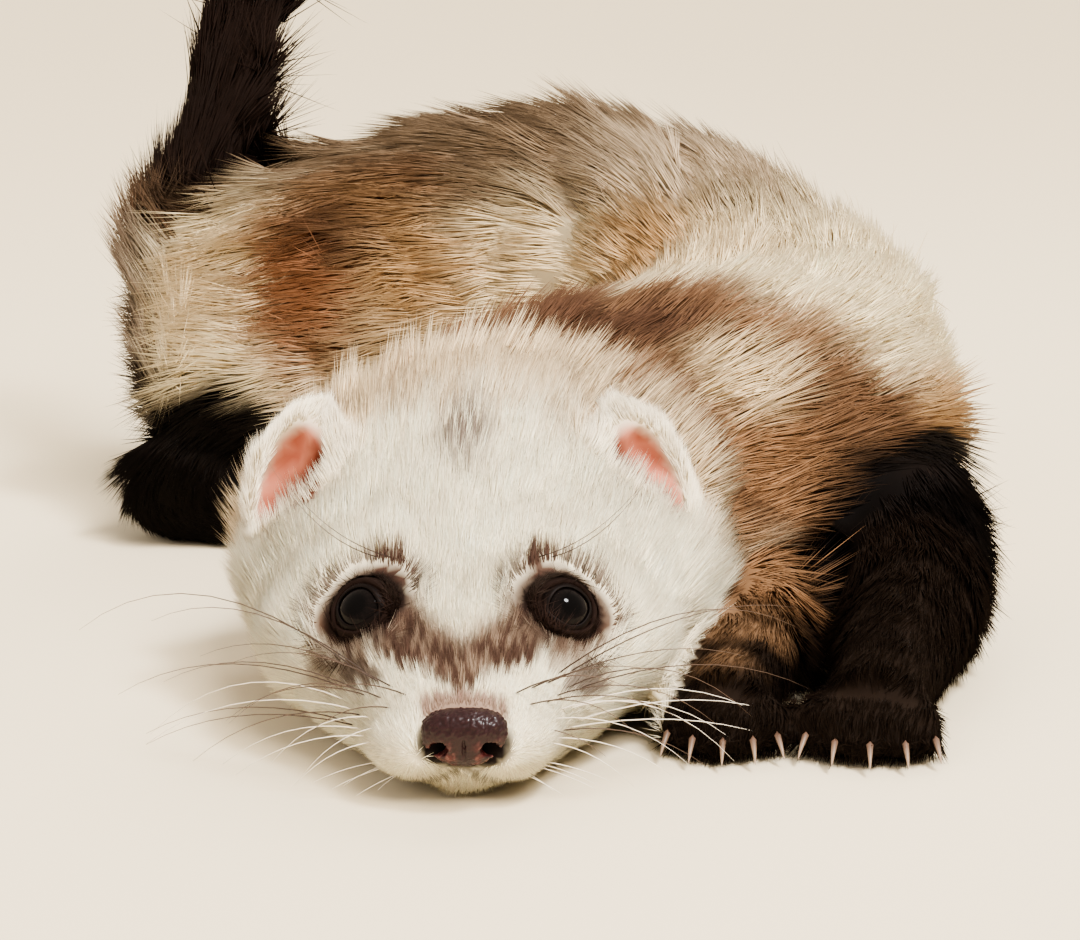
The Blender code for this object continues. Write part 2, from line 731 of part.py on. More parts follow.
def trunk_roots(draw):
    """Where each lock of the trunk and tail starts, the way that it lies, and its size."""
    (first, last), count, around, (low, high), *sizes = TRUNK_COAT
    for number, place in enumerate(np.linspace(first, last, count)):
        row, way = row_at(SPINE, place)
        ring = spine_ring(row, way)
        for step in range(around):
            share = (step + 0.5 * (number % 2) + draw.uniform(-0.15, 0.15)) / (around - 0.5)
            turn = (low + (high - low) * share) / 360 * RING_POINTS
            yield Vector(ring[int(round(turn)) % RING_POINTS]), way, sizes
    (first, last), count, around, (low, high), *sizes = TAIL_COAT
    for number, place in enumerate(np.linspace(first, last, count)):
        row, way = row_at(TAIL, place)
        across = way.orthogonal().normalized()
        for step in range(around):
            share = (step + 0.5 * (number % 2) + draw.uniform(-0.15, 0.15)) / around
            turn = math.radians(low + (high - low) * 4 / 3 * share)
            out = across * math.cos(turn) + way.cross(across) * math.sin(turn)
            yield Vector(row[:3]) + out * row[3], way, sizes


def coated(rest):
    """The trunk as a core with its locks fused on."""
    draw = np.random.default_rng(SEED)
    plain = points_of(rest)
    depth = coat_depth(plain)
    set_points(rest, plain - normals_of(rest) * depth[:, None])
    bm = bmesh_of(rest)
    tree = BVHTree.FromBMesh(bm)
    bm.free()
    locks = bpy.data.collections.new("locks")
    for root, way, (length, width, lock_depth) in trunk_roots(draw):
        if coat_share(np.array([root]))[0] < 0.6:
            continue
        spot, normal, _, _ = tree.find_nearest(root)
        level = (way - normal * way.dot(normal)).normalized()
        long = length * draw.uniform(0.85, 1.15)
        wide = width * draw.uniform(0.85, 1.1)
        obj = object_from("lock", lock(tree, spot, level, long, wide, lock_depth))
        locks.objects.link(obj)
    step = rest.modifiers.new("locks", "BOOLEAN")
    step.operation = "UNION"
    step.solver = "MANIFOLD"
    step.operand_type = "COLLECTION"
    step.collection = locks
    applied(rest)
    for obj in list(locks.objects):
        dropped(obj)
    bpy.data.collections.remove(locks)
    return remeshed(rest, COAT_VOXEL, 1)


def part_trunk(rest):
    """The trunk behind the head, cut across the spine and the tail into its named pieces.

    Each keeps its largest closed surface only, which drops the loose end of a cut lock.
    """
    for place in SPINE_CUTS:
        row, way = row_at(SPINE, place)
        middle_height = (row[3] + row[4]) / 2
        size = (row[2] + 5.0, row[4] - middle_height + 5.0)
        plate = slab((row[0], row[1], middle_height), way, *size)
        combined(rest, object_from("cut", plate), solver="MANIFOLD")
    for place in TAIL_CUTS:
        row, way = row_at(TAIL, place)
        reach = row[3] + TAIL_MARGIN
        combined(rest, object_from("cut", slab(row[:3], way, reach, reach)), solver="MANIFOLD")
    combined(rest, floor_block(), solver="MANIFOLD")
    pieces = {}
    for part in loose_parts(rest)[: len(ANCHORS)]:
        centre = middle(part)
        free = [name for name in ANCHORS if name not in pieces]
        name = min(free, key=lambda key: (Vector(ANCHORS[key]) - centre).length)
        pieces[name] = part
    return pieces


def surface(name):
    """The material of a piece, made once."""
    kind = SURFACE_OF[name.split("_")[0]]
    if kind in bpy.data.materials:
        return bpy.data.materials[kind]
    colour, roughness, metallic = SURFACES[kind]
    material = bpy.data.materials.new(kind)
    material.use_nodes = True
    shader = material.node_tree.nodes["Principled BSDF"]
    shader.inputs["Base Color"].default_value = (*colour, 1.0)
    shader.inputs["Roughness"].default_value = roughness
    shader.inputs["Metallic"].default_value = metallic
    material.diffuse_color = (*colour, 1.0)
    return material


def place_on_floor(pieces):
    """The pieces as scene objects in metres, with the origin under the middle of their box."""
    corners = np.array([vert.co for bm in pieces.values() for vert in bm.verts])
    low, high = corners.min(axis=0), corners.max(axis=0)
    centre = Vector(((low[0] + high[0]) / 2, (low[1] + high[1]) / 2, 0.0))
    for name, bm in pieces.items():
        bmesh.ops.translate(bm, vec=-centre, verts=bm.verts)
        bmesh.ops.scale(bm, vec=(MM, MM, MM), verts=bm.verts)
        obj = object_from(name, bm)
        obj.data.materials.append(surface(name))


def main():
    clear_scene()
    head, rest = make_trunk()
    pieces = make_legs((head, rest))
    pieces["nose"] = make_nose(head)
    for side, end in ((1, "left"), (-1, "right")):
        pieces[f"ear_{end}"] = make_ear(side, (head, rest))
    carve_mouth(head)
    for side, end in ((1, "left"), (-1, "right")):
        pieces[f"eye_{end}"] = make_eye(head, side)
    combined(head, floor_block())
    pieces["head"] = loose_parts(head)[0]
    pieces.update(part_trunk(rest))
    place_on_floor(pieces)


main()
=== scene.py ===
"""The ferret's looks: one skin over the flesh, a coat of solid tufts, eyes, nose, claws, whiskers.

Places are in millimetres in the drawing frame of the part: the nose at y = 0, the floor at z = 0,
+X to the ferret's left. to_row turns them into the row's metres.
"""

import math

import bmesh
import bpy
import numpy as np
from mathutils import Matrix, Vector


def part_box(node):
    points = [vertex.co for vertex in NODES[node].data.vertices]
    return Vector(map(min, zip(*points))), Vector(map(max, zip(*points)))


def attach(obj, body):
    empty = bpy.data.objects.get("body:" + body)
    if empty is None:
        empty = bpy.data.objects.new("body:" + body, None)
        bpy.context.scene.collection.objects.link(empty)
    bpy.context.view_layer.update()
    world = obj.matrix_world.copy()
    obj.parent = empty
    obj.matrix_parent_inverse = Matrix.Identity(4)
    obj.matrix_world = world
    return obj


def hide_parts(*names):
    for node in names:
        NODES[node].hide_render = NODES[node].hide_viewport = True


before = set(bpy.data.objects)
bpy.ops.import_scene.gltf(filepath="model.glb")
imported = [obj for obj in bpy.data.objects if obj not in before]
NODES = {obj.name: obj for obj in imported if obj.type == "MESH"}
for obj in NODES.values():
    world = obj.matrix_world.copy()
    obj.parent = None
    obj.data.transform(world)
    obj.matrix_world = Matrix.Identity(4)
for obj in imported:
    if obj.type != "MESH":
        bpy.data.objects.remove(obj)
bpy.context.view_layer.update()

FLESH = [name for name in NODES if name.split("_")[0] not in ("claw", "eye", "nose")]

MM = 0.001
SIDES = (1, -1)

# Seeds of the random draws, and the number of waves in one smooth random value and its scale.
HEAD_SEED = 100
BODY_SEED = 200
LID_SEED = 55
WHISKER_SEED = 77
LEAN_SEEDS = (21, 22, 23)
WAVE_COUNT = 7
WAVE_SCALE = 3.2

# The head's middle line and the nose's. EYE and EAR are the left ones' places, with x from the
# middle line, EYE_WAY is the way that the left eye looks, and its front is bare of fur so far out.
HEAD_X = -9.0
NOSE_X = HEAD_X + 0.5
EYE = (11.2, 20.3, 17.9)
EYE_RADIUS = 3.8
EYE_WAY = (0.42, -0.70, 0.58)
EYE_BARE = 5.6
EAR = (21.8, 44.6, 28.9)
EAR_TURNS = (24.0, -12.0, -18.0)
EAR_RADII = (6.9, 4.2, 10.9)

# An ear's cup, across and up in parts of the ear's radii, the share of the coat that it has, and
# the height of the folds in it.
CUP_MIDDLE = (-0.08, -0.04)
CUP_RADII = (0.74, 0.84)
CUP_COAT = 0.08
EAR_FOLD = 0.35

# Ovals round the nose pad: bare of fur, as middle and radii, and dark on the skin, with its
# softness. Then the cells of the pad's remesh and the height of its pebbles.
NOSE_BARE = ((NOSE_X, 2.2, 8.2), (5.4, 4.4, 3.5))
NOSE_BED = ((NOSE_X, 2.2, 7.8), (5.6, 4.0, 3.4), 0.15)
NOSE_VOXEL = 0.16
NOSE_PEBBLE = 0.09

# The skin: the remesh's cells, its triangles at the end, how far the nodes are grown to close the
# cuts between them, its lowest place, and the extra steps of smoothing behind the head.
SKIN_VOXEL = 0.85
SKIN_TRIANGLES = 110000
CLOSE_GAP = 0.25
SKIN_LOW = 0.25
BODY_STEPS = 26
# Above this height the tail's skin is shortened so much, for its hairs to end at the solid's tip.
TAIL_END = (128.0, 0.4)

PIECE_TRIANGLES = 190000
HEAD_STYLE = (0.2, 0.12, 0.07, 0.35)
BODY_STYLE = (0.18, 0.17, 0.07, 0.45)
# A tuft: the corners of its root, across and up in half widths, its four faces, the least heights
# of its points, and its patch on the flat map.
TUFT_CORNERS = ((1, -0.3), (-1, -0.3), (0, 0.55))
TUFT_FACES = np.array([(0, 1, 2), (0, 3, 1), (1, 3, 2), (2, 3, 0)])
TUFT_FLOORS = (0.12, 0.14, 0.16, 0.2)
TUFT_PATCH = 0.0015 * np.array([(-1, -1), (1, -1), (0, -1), (0, 1)])
# Painted light at each tuft's tip, as a factor on its colour; the roots get painted shade.
TIP_SHADE = 1.12

# Hair lengths: on head, trunk and forelegs by how far back, on tail and hind legs by height.
HEAD_END = 58
HEAD_HAIR = ((0, 5, 12, 22, 34, 46, HEAD_END), (1.6, 2.2, 3.2, 4.4, 6.0, 7.6, 9.0))
TRUNK_HAIR = ((HEAD_END, 75, 100), (8.6, 10.0, 11.0))
FORE_HAIR = ((14, 24, 36, 60, 84), (3.0, 3.6, 5.0, 7.5, 11))
TAIL_HAIR = ((40, 60, 118, 136), (11.5, 12, 12, 9))
HIND_HAIR = ((3, 9, 14, 28), (3.0, 5.5, 8.0, 13))
EAR_HAIR = 2.6
# The oval behind the left forepaw where the hair is longer by so much: middle, radii, softness.
CHEST_FRINGE = ((36, 62, 9), (9, 14, 9), 0.35)
CHEST_EXTRA = 6

# How deep the skin lies: in parts of the hair's length on the head, as far back as the border, and
# on the body, in millimetres on the tail, with its share by height, and on the ears, and at most.
HEAD_SINK = 0.17
SINK_BORDER = 55
BODY_SINK = 0.11
TAIL_SINK = 4.6
TAIL_SINK_SHARE = ((40, 60, 118, 132), (0.8, 1, 1, 0.5))
EAR_SINK = 0.55
MOST_SINK = 5.0

# Tufts to a square millimetre and their widths: on the head by how far back, on the legs by
# height, and on the body by the hair's length.
HEAD_DENSITY = ((0, 12, 24, 45, 60), (30.0, 22.0, 17.0, 12.0, 8.5))
LEG_DENSITY = ((0, 6, 14, 24), (8.0, 6.5, 4.8, 3.6))
EAR_DENSITY = 19.0
TAIL_DENSITY = 5.0
TRUNK_DENSITY = 2.4
HEAD_WIDTH = ((0, 20, 45, 60), (0.11, 0.14, 0.2, 0.28))
BODY_WIDTH = ((2, 6, 13), (0.17, 0.27, 0.43))
EAR_WIDTH = 0.14

# The lids: half width of the opening, how far its corners reach, half heights, where the lids end
# as an angle from the eye's axis, their inner and outer radius, steps round, and the number and
# width of the hairs on each eye's.
LID_WIDE = 2.4
LID_CORNER = 0.45
LID_LOW = 2.55
LID_HIGH = 2.4
LID_END = 1.3
LID_RADII = (3.85, 4.12)
LID_STEPS = 96
LID_HAIRS = 1700
LID_HAIR_WIDTH = 0.13

CLAW_SLIM = 0.52

# Whiskers: rows on each side, whiskers in a row, how many of the rows are dark, hairs over each
# eye and under the chin, a hair's sides, its radius at the tip, how much more that is at the root
# on muzzle, brow and chin, and the least height of a tip.
MUZZLE_ROWS = 4
MUZZLE_HAIRS = 5
DARK_ROWS = 2
BROW_HAIRS = 2
CHIN_HAIRS = 5
HAIR_SIDES = 4
TIP_RADIUS = 0.018
MUZZLE_TAPER = 0.085
BROW_TAPER = 0.05
CHIN_TAPER = 0.08
HAIR_FLOOR = 1.2

# The photo's camera: place, downward tilt in degrees, and lens for its sensor, in millimetres.
CAMERA_PLACE = (0.0, -297.0, 103.0)
CAMERA_TILT = 12.0
CAMERA_LENS = 92.3
CAMERA_SENSOR = 36.0

# How many points are compared with the lines at once, how softly one line's lie passes into the
# next one's, and the steps between two of a line's rows.
LIE_CHUNK = 20000
LIE_BLEND = 2.5
LINE_STEPS = 6

# The middle line of the body and limbs, from which the coat's lie is read: x, y, z, reach.
LINES = {
    "trunk": [
        (-9, -6, 8, 8), (-9, 10, 9, 13), (-9, 22, 12, 20), (-9, 34, 15, 27), (-8, 48, 20, 31),
        (-7, 57, 22, 32), (-2, 68, 23, 31), (6, 78, 23, 30), (16, 88, 23, 30), (27, 100, 23, 31),
        (35, 115, 23, 31), (37, 133, 25, 28), (34, 150, 27, 28), (25, 166, 30, 28),
        (9, 176, 33, 29), (-10, 178, 32, 29), (-28, 172, 31, 29), (-43, 161, 29, 28),
        (-53, 152, 30, 22), (-58, 151, 34, 18), (-61, 154, 42, 11),
    ],
    "tail": [
        (-61, 156, 39, 10), (-62, 161, 46, 10), (-58, 167, 55, 11), (-53, 174, 68, 11),
        (-49, 181, 83, 10), (-45, 186, 98, 9), (-43, 190, 112, 8), (-42, 193, 124, 7),
        (-41, 195, 136, 4), (-41, 196, 150, 1),
    ],
    "fore_left": [
        (48, 84, 16, 12), (50, 70, 12, 11), (49, 58, 10, 10), (46, 46, 8, 8), (43, 34, 6, 7),
        (40, 20, 4, 7), (39, 12, 3, 5),
    ],
    "fore_right": [
        (24, 72, 9, 9), (28, 58, 8, 8), (27, 46, 7, 7), (25, 36, 6, 6), (22, 24, 4, 6),
        (21, 14, 3, 5),
    ],
    "hind_right": [
        (-50, 146, 24, 15), (-54, 140, 14, 10), (-59, 136, 8, 8), (-54, 134, 6, 7),
        (-44, 132, 5, 7), (-30, 131, 3, 6),
    ],
    "hind_left": [
        (-48, 180, 24, 15), (-52, 189, 14, 10), (-57, 194, 8, 8), (-51, 196, 6, 7),
        (-40, 200, 5, 7), (-26, 204, 3, 6),
    ],
}
KIND = {name: number for number, name in enumerate(LINES)}
TAIL = KIND["tail"]

# Each leg passes from its own colour at the first height to black at the second.
LEG_BLACK = {
    "fore_left": (40, 28), "fore_right": (16, 7), "hind_left": (28, 20), "hind_right": (28, 20),
}


def srgb(red, green, blue):
    """The linear colour of 0 to 255 values."""
    value = np.array([red, green, blue]) / 255.0
    return np.where(value <= 0.04045, value / 12.92, ((value + 0.055) / 1.055) ** 2.4)


WHITE = srgb(243, 234, 210)
CREAM = srgb(238, 222, 188)
TAN = srgb(216, 194, 162)
GREY = srgb(122, 106, 98)
HIP = srgb(208, 188, 162)
MASK = srgb(84, 61, 52)
MASK_EDGE = srgb(144, 121, 103)
# Dark rims of eyes, lids and mouth; also painted shade along the ears' cups.
RIM_AND_SHADE = srgb(36, 24, 20)
FRINGE = srgb(124, 80, 72)
BROWN = srgb(124, 94, 71)
BACK = srgb(110, 85, 66)
RUST = srgb(140, 90, 60)
NAPE = srgb(90, 64, 50)
ORANGE = srgb(182, 144, 101)
SHOULDER = srgb(156, 119, 88)
PALE = srgb(222, 200, 164)
DARK = srgb(30, 19, 14)
# Black of the legs; also painted shadow at the throat.
BLACK_AND_SHADE = srgb(17, 11, 9)
EAR_RIM = srgb(236, 225, 203)
PINK = srgb(190, 124, 106)
RED = srgb(142, 68, 54)
NOSE_DARK = srgb(30, 19, 22)
NOSE_RED = srgb(84, 36, 36)
NOSE_PINK = srgb(140, 92, 86)
EYE_BLACK = srgb(9, 8, 9)
IRIS = srgb(20, 16, 16)
LID_SKIN = srgb(17, 11, 10)
CLAW_TIP = srgb(158, 138, 120)
CLAW_ROOT = srgb(88, 66, 56)
WHISKER_DARK = (srgb(52, 40, 35), srgb(110, 92, 80))
WHISKER_PALE = (srgb(225, 215, 200), srgb(240, 234, 224))
FLOOR = srgb(224, 213, 189)
ROOM = srgb(232, 218, 198)

# The mask over the nose: half widths from the middle line, and the heights up the face, as the
# camera sees it, of its upper and lower edge there.
MASK_ACROSS = (0.0, 2.0, 3.0, 5.0, 7.4, 8.8)
MASK_TOP = (19.6, 20.4, 21.2, 22.4, 23.5, 24.0)
MASK_FOOT = (13.7, 15.0, 15.6, 16.2, 16.4, 17.4)

# The mouth's line: across from the middle line, its height, and how far back it goes.
LIP_ACROSS = (0.0, 1.8, 4.8, 8.8, 12.6)
LIP_HEIGHT = (4.8, 3.8, 2.8, 2.6, 4.0)
LIP_BACK = 16

# The grey mark on the crown, as middle, radii and softness of the edge.
CROWN_GREY = ((HEAD_X - 0.6, 39.0, 35.6), (3.4, 7.5, 5.0), 0.6)

# Where the head's white ends: across from the middle line, and how far back.
NAPE_ACROSS = (-30.0, -8.0, 0.0, 8.0, 20.0, 34.0)
NAPE_BACK = (82.0, 77.0, 70.0, 63.0, 58.0, 55.0)

# Ovals on the body: middle, radii, softness of the edge, strength, tone.
BODY_SPOTS = (
    ((38, 108, 42), (15, 23, 15), 0.5, 0.95, CREAM),
    ((25, 130, 46), (13, 14, 12), 0.6, 0.7, PALE),
    ((50, 91, 38), (8, 10, 10), 0.5, 0.9, CREAM),
    ((57, 84, 31), (5, 8, 8), 0.5, 0.7, ORANGE),
    ((16, 145, 45), (9, 10, 10), 0.6, 0.9, ORANGE),
    ((23, 163, 57), (15, 12, 10), 0.6, 0.85, HIP),
    ((-2, 150, 42), (11, 9, 9), 0.6, 0.85, PALE),
    ((-20, 147, 42), (9, 8, 8), 0.6, 0.8, ORANGE),
    ((-24, 154, 55), (14, 9, 9), 0.5, 0.85, BROWN),
    ((-28, 147, 42), (17, 12, 17), 0.5, 0.6, ORANGE),
    ((-38, 142, 40), (9, 12, 17), 0.6, 0.9, RUST),
    ((-53.5, 143, 41), (8, 13, 13), 0.45, 0.95, PALE),
    ((44, 95, 44), (10, 13, 9), 0.5, 0.9, CREAM),
    ((-32, 147, 49), (8, 8, 7), 0.6, 0.7, NAPE),
    ((9, 76, 45), (14, 8, 8), 0.5, 0.85, NAPE),
    ((34, 82, 43), (9, 9, 6), 0.6, 0.5, SHOULDER),
    ((29, 64, 24), (10, 10, 14), 0.5, 0.85, SHOULDER),
    ((27, 70, 38.5), (8.5, 7, 6.5), 0.5, 0.95, PALE),
)

# Ovals on the face: across, height up the face, half width, half height, strength, tone.
FACE_SPOTS = (
    (-12.3, 20.4, 5.4, 4.0, 0.6, MASK_EDGE),
    (12.5, 20.4, 5.4, 3.9, 0.6, MASK_EDGE),
    (-12.2, 20.8, 4.7, 3.5, 0.95, MASK),
    (12.4, 20.8, 4.7, 3.4, 0.95, MASK),
    (-8.9, 26.4, 2.1, 1.7, 0.95, MASK),
    (8.9, 27.2, 1.8, 1.6, 0.95, MASK),
    (-14.2, 15.4, 4.4, 2.8, 0.65, MASK_EDGE),
    (-11.6, 15.0, 2.6, 1.6, 0.7, MASK),
    (11.8, 16.6, 2.6, 1.8, 0.6, MASK_EDGE),
    (14.2, 14.0, 2.6, 1.7, 0.85, GREY),
    (0.4, 12.2, 5.2, 1.5, 0.75, FRINGE),
)

# Soft lights from the side of a place in metres: name, place, strength, spread, colour. Then the
# small light that glints in the eyes: place, size, power. All are aimed at the head.
SUNS = (
    ("key", (0.30, -0.50, 0.75), 4.2, 0.5, srgb(255, 243, 226)),
    ("fill", (-0.60, -0.50, 0.45), 1.2, 0.8, srgb(250, 244, 240)),
    ("back", (0.15, 0.75, 0.65), 2.0, 0.6, srgb(255, 246, 232)),
)
CATCH_PLACE = (0.36, -0.27, 0.82)
CATCH_SIZE = 0.2
CATCH_POWER = 8.0
LIGHT_AIM = (0.0, -0.04, 0.03)
ROOM_STRENGTH = 0.85
FLOOR_HALF = 12.0


def eye_centre(side):
    """The middle of an eye: side is 1 on the left and -1 on the right."""
    return np.array([HEAD_X + side * EYE[0], EYE[1], EYE[2]])


def eye_way(side):
    """The way that an eye looks, not of length 1."""
    return np.array([side * EYE_WAY[0], EYE_WAY[1], EYE_WAY[2]])


def eye_distance(points):
    """How far each point is from the middle of the nearer eye."""
    away = [points - eye_centre(side) for side in SIDES]
    return np.linalg.norm(away, axis=2).min(axis=0)


def offset_of_row():
    """What is added to a drawing place, in millimetres, to give the row's."""
    low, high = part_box("eye_left")
    centre = (np.array(low) + np.array(high)) / 2 / MM
    return centre - eye_centre(1)


OFFSET = offset_of_row()


def to_row(points):
    """The row's metres of drawing places."""
    return (np.asarray(points, float) + OFFSET) * MM


def linked(name, data):
    """A new object of that data, in the scene."""
    obj = bpy.data.objects.new(name, data)
    bpy.context.scene.collection.objects.link(obj)
    return obj


def new_mesh(name, points, faces):
    """An object from drawing points and a list or array of faces of equal size."""
    points = to_row(points)
    faces = np.asarray(faces, np.int32)
    mesh = bpy.data.meshes.new(name)
    mesh.vertices.add(len(points))
    mesh.vertices.foreach_set("co", points.astype(np.float32).ravel())
    size = faces.shape[1]
    mesh.loops.add(faces.size)
    mesh.loops.foreach_set("vertex_index", faces.ravel())
    mesh.polygons.add(len(faces))
    mesh.polygons.foreach_set("loop_start", np.arange(0, faces.size, size, dtype=np.int32))
    mesh.update(calc_edges=True)
    return linked(name, mesh)


def points_of(obj):
    """The object's points in the drawing frame."""
    flat = np.empty(len(obj.data.vertices) * 3, np.float32)
    obj.data.vertices.foreach_get("co", flat)
    return flat.reshape(-1, 3).astype(float) / MM - OFFSET


def set_points(obj, points):
    """Moves the object's points to these places in the drawing frame."""
    obj.data.vertices.foreach_set("co", to_row(points).astype(np.float32).ravel())
    obj.data.update()


def normals_of(obj):
    """The normal at each of the object's points."""
    flat = np.empty(len(obj.data.vertices) * 3, np.float32)
    obj.data.vertices.foreach_get("normal", flat)
    return flat.reshape(-1, 3).astype(float)


def triangles_of(obj):
    """The three point numbers of each of the object's triangles."""
    obj.data.calc_loop_triangles()
    flat = np.empty(len(obj.data.loop_triangles) * 3, np.int32)
    obj.data.loop_triangles.foreach_get("vertices", flat)
    return flat.reshape(-1, 3)


def remesh_with(obj, size):
    """Adds a voxel Remesh modifier with cells of that many millimetres."""
    remesh = obj.modifiers.new("one_skin", "REMESH")
    remesh.mode = "VOXEL"
    remesh.voxel_size = size * MM


def soften_with(obj, steps, group=""):
    """Adds a Smooth modifier of so many steps, on a group of points or on them all."""
    soften = obj.modifiers.new("soften", "SMOOTH")
    soften.factor = 0.5
    soften.iterations = steps
    soften.vertex_group = group


def apply_modifiers(obj):
    """Puts the object's evaluated mesh in place of its own and clears its modifiers."""
    graph = bpy.context.evaluated_depsgraph_get()
    mesh = bpy.data.meshes.new_from_object(obj.evaluated_get(graph))
    old = obj.data
    obj.modifiers.clear()
    obj.data = mesh
    bpy.data.meshes.remove(old)


def smoothstep(low, high, value):
    """0 at low and 1 at high, with a soft passage between them. low may be above high."""
    t = np.clip((value - low) / (high - low), 0.0, 1.0)
    return t * t * (3 - 2 * t)


def unit(vectors):
    """The vectors at length 1."""
    return vectors / np.linalg.norm(vectors, axis=1)[:, None]


def flattened(ways, normals):
    """The ways with what runs along the normals taken out."""
    return ways - normals * (ways * normals).sum(axis=1)[:, None]


def waves(points, size, seed):
    """A smooth random value from about -1 to 1 at each point, with features of about that size."""
    draw = np.random.default_rng(seed)
    total = np.zeros(len(points))
    for _ in range(WAVE_COUNT):
        way = draw.normal(size=3)
        way *= (0.7 + 0.8 * draw.random()) / (np.linalg.norm(way) * size)
        total += np.sin(points @ way * 2 * math.pi + draw.random() * 6.28)
    return total / WAVE_SCALE


def varied(draw, count, least, more):
    """So many random values from the least one up to so much more."""
    return least + more * draw.random(count)


def spot(points, centre, radii, edge):
    """1 inside an oval, falling to 0 past its edge."""
    away = np.linalg.norm((points - np.array(centre)) / np.array(radii), axis=1)
    return 1 - smoothstep(1 - edge, 1 + edge, away)


def line_samples():
    """Fine points along every line, with the way it runs, its reach and the line's number."""
    places, ways, reaches, kinds = [], [], [], []
    for number, rows in enumerate(LINES.values()):
        rows = np.array(rows, float)
        steps = np.linspace(0, len(rows) - 1, (len(rows) - 1) * LINE_STEPS + 1)
        fine = np.stack([np.interp(steps, range(len(rows)), column) for column in rows.T], axis=1)
        places.append(fine[:, :3])
        ways.append(unit(np.gradient(fine[:, :3], axis=0)))
        reaches.append(fine[:, 3])
        kinds.append(np.full(len(fine), number))
    return tuple(np.concatenate(part) for part in (places, ways, reaches, kinds))


SAMPLES = line_samples()


def lie_of(points):
    """The way that the coat lies at each point, and the number of the line that it follows."""
    places, ways, reaches, kinds = SAMPLES
    lie = np.empty_like(points)
    kind = np.empty(len(points), int)
    for start in range(0, len(points), LIE_CHUNK):
        part = points[start : start + LIE_CHUNK]
        away = np.linalg.norm(part[:, None] - places[None], axis=2) - reaches[None]
        near = np.exp(-(away - away.min(axis=1, keepdims=True)) / LIE_BLEND)
        lie[start : start + LIE_CHUNK] = near @ ways
        kind[start : start + LIE_CHUNK] = kinds[away.argmin(axis=1)]
    return lie / np.maximum(np.linalg.norm(lie, axis=1), 1e-6)[:, None], kind


def ear_frame(side):
    """The matrix of an ear: own X across it, -Y out of its cup, Z along it."""
    yaw, pitch, roll = (math.radians(turn) for turn in EAR_TURNS)
    placed = Matrix.Translation((HEAD_X + side * EAR[0], EAR[1], EAR[2]))
    placed = placed @ Matrix.Rotation(side * yaw, 4, "Z") @ Matrix.Rotation(pitch, 4, "X")
    return np.array(placed @ Matrix.Rotation(side * roll, 4, "Y"))


EARS = {side: np.linalg.inv(ear_frame(side)) for side in SIDES}


def in_ear(points, side):
    """The points in an ear's own frame, in parts of its radii."""
    flat = np.concatenate([points, np.ones((len(points), 1))], axis=1)
    return (flat @ EARS[side].T)[:, :3] / np.array(EAR_RADII)


def on_side(points, side):
    """Whether each point is on that side of the head's middle line."""
    return (points[:, 0] - HEAD_X) * side > 0


def ear_mask(points):
    """How much each point belongs to an ear, and how much it is inside the ear's cup."""
    whole = np.zeros(len(points))
    inner = np.zeros(len(points))
    for side in SIDES:
        own = in_ear(points, side)
        own[:, 0] *= side
        size = np.linalg.norm(own, axis=1)
        whole = np.maximum(whole, 1 - smoothstep(0.98, 1.25, size))
        across = (own[:, 0] - CUP_MIDDLE[0]) / CUP_RADII[0]
        along = (own[:, 2] - CUP_MIDDLE[1]) / CUP_RADII[1]
        cup = 1 - smoothstep(0.75, 1.0, np.sqrt(across**2 + along**2))
        inner = np.maximum(inner, cup * (own[:, 1] < 0.15) * (size < 1.05))
    return whole, inner


def ear_folds(points):
    """From -1 to 1 over the soft folds inside each ear's cup, and 0 elsewhere."""
    folds = np.zeros(len(points))
    for side in SIDES:
        own = in_ear(points, side)
        wave = np.sin(9.0 * own[:, 0] * side + 4.0 * own[:, 2] + 1.5 * np.sin(5.0 * own[:, 2]))
        folds = np.where(on_side(points, side), wave, folds)
    return folds * ear_mask(points)[1]


def hair_length(points):
    """The length of the hairs, in millimetres."""
    y, z = points[:, 1], points[:, 2]
    _, kind = lie_of(points)
    low = smoothstep(26, 8, z) * smoothstep(20, 40, y)
    head = np.interp(y, *HEAD_HAIR) + 2.0 * low
    length = np.where(y < HEAD_END, head, np.interp(y, *TRUNK_HAIR))
    length = np.where(kind == TAIL, np.interp(z, *TAIL_HAIR), length)
    for name in ("fore_left", "fore_right"):
        length = np.where(kind == KIND[name], np.interp(y, *FORE_HAIR), length)
    for name in ("hind_left", "hind_right"):
        length = np.where(kind == KIND[name], np.interp(z, *HIND_HAIR), length)
    length = length + CHEST_EXTRA * spot(points, *CHEST_FRINGE)
    ear, _ = ear_mask(points)
    return length * (1 - ear) + ear * EAR_HAIR


def skin_depth(points):
    """How far the skin lies below the solids, in millimetres."""
    depth = hair_length(points) * np.where(points[:, 1] < SINK_BORDER, HEAD_SINK, BODY_SINK)
    tail = TAIL_SINK * np.interp(points[:, 2], *TAIL_SINK_SHARE)
    depth = np.where(lie_of(points)[1] == TAIL, tail, depth)
    ear, _ = ear_mask(points)
    return np.minimum(depth * (1 - ear) + ear * EAR_SINK, MOST_SINK)


def filled(tone, points):
    """One colour for every point."""
    return np.tile(tone, (len(points), 1))


def laid(colour, amount, tone):
    """The colour with so much of a tone over it."""
    amount = np.clip(amount, 0, 1)[:, None]
    return colour * (1 - amount) + tone * amount


def with_mask(colour, across, height, front, streak, rough):
    """The colour with the dark mask over the nose."""
    wide = np.abs(across) + 0.5 * rough
    level = height + 0.5 * streak + 0.35 * rough
    top = np.interp(wide, MASK_ACROSS, MASK_TOP)
    foot = np.interp(wide, MASK_ACROSS, MASK_FOOT)
    mask = smoothstep(foot - 0.9, foot + 0.7, level) * (1 - smoothstep(top - 2.2, top + 1.0, level))
    mask *= (1 - smoothstep(8.2, 9.8, wide)) * front
    colour = laid(colour, 0.95 * mask, MASK_EDGE)
    return laid(colour, 0.92 * mask * smoothstep(-0.7, 0.5, streak + 0.5 * rough), MASK)


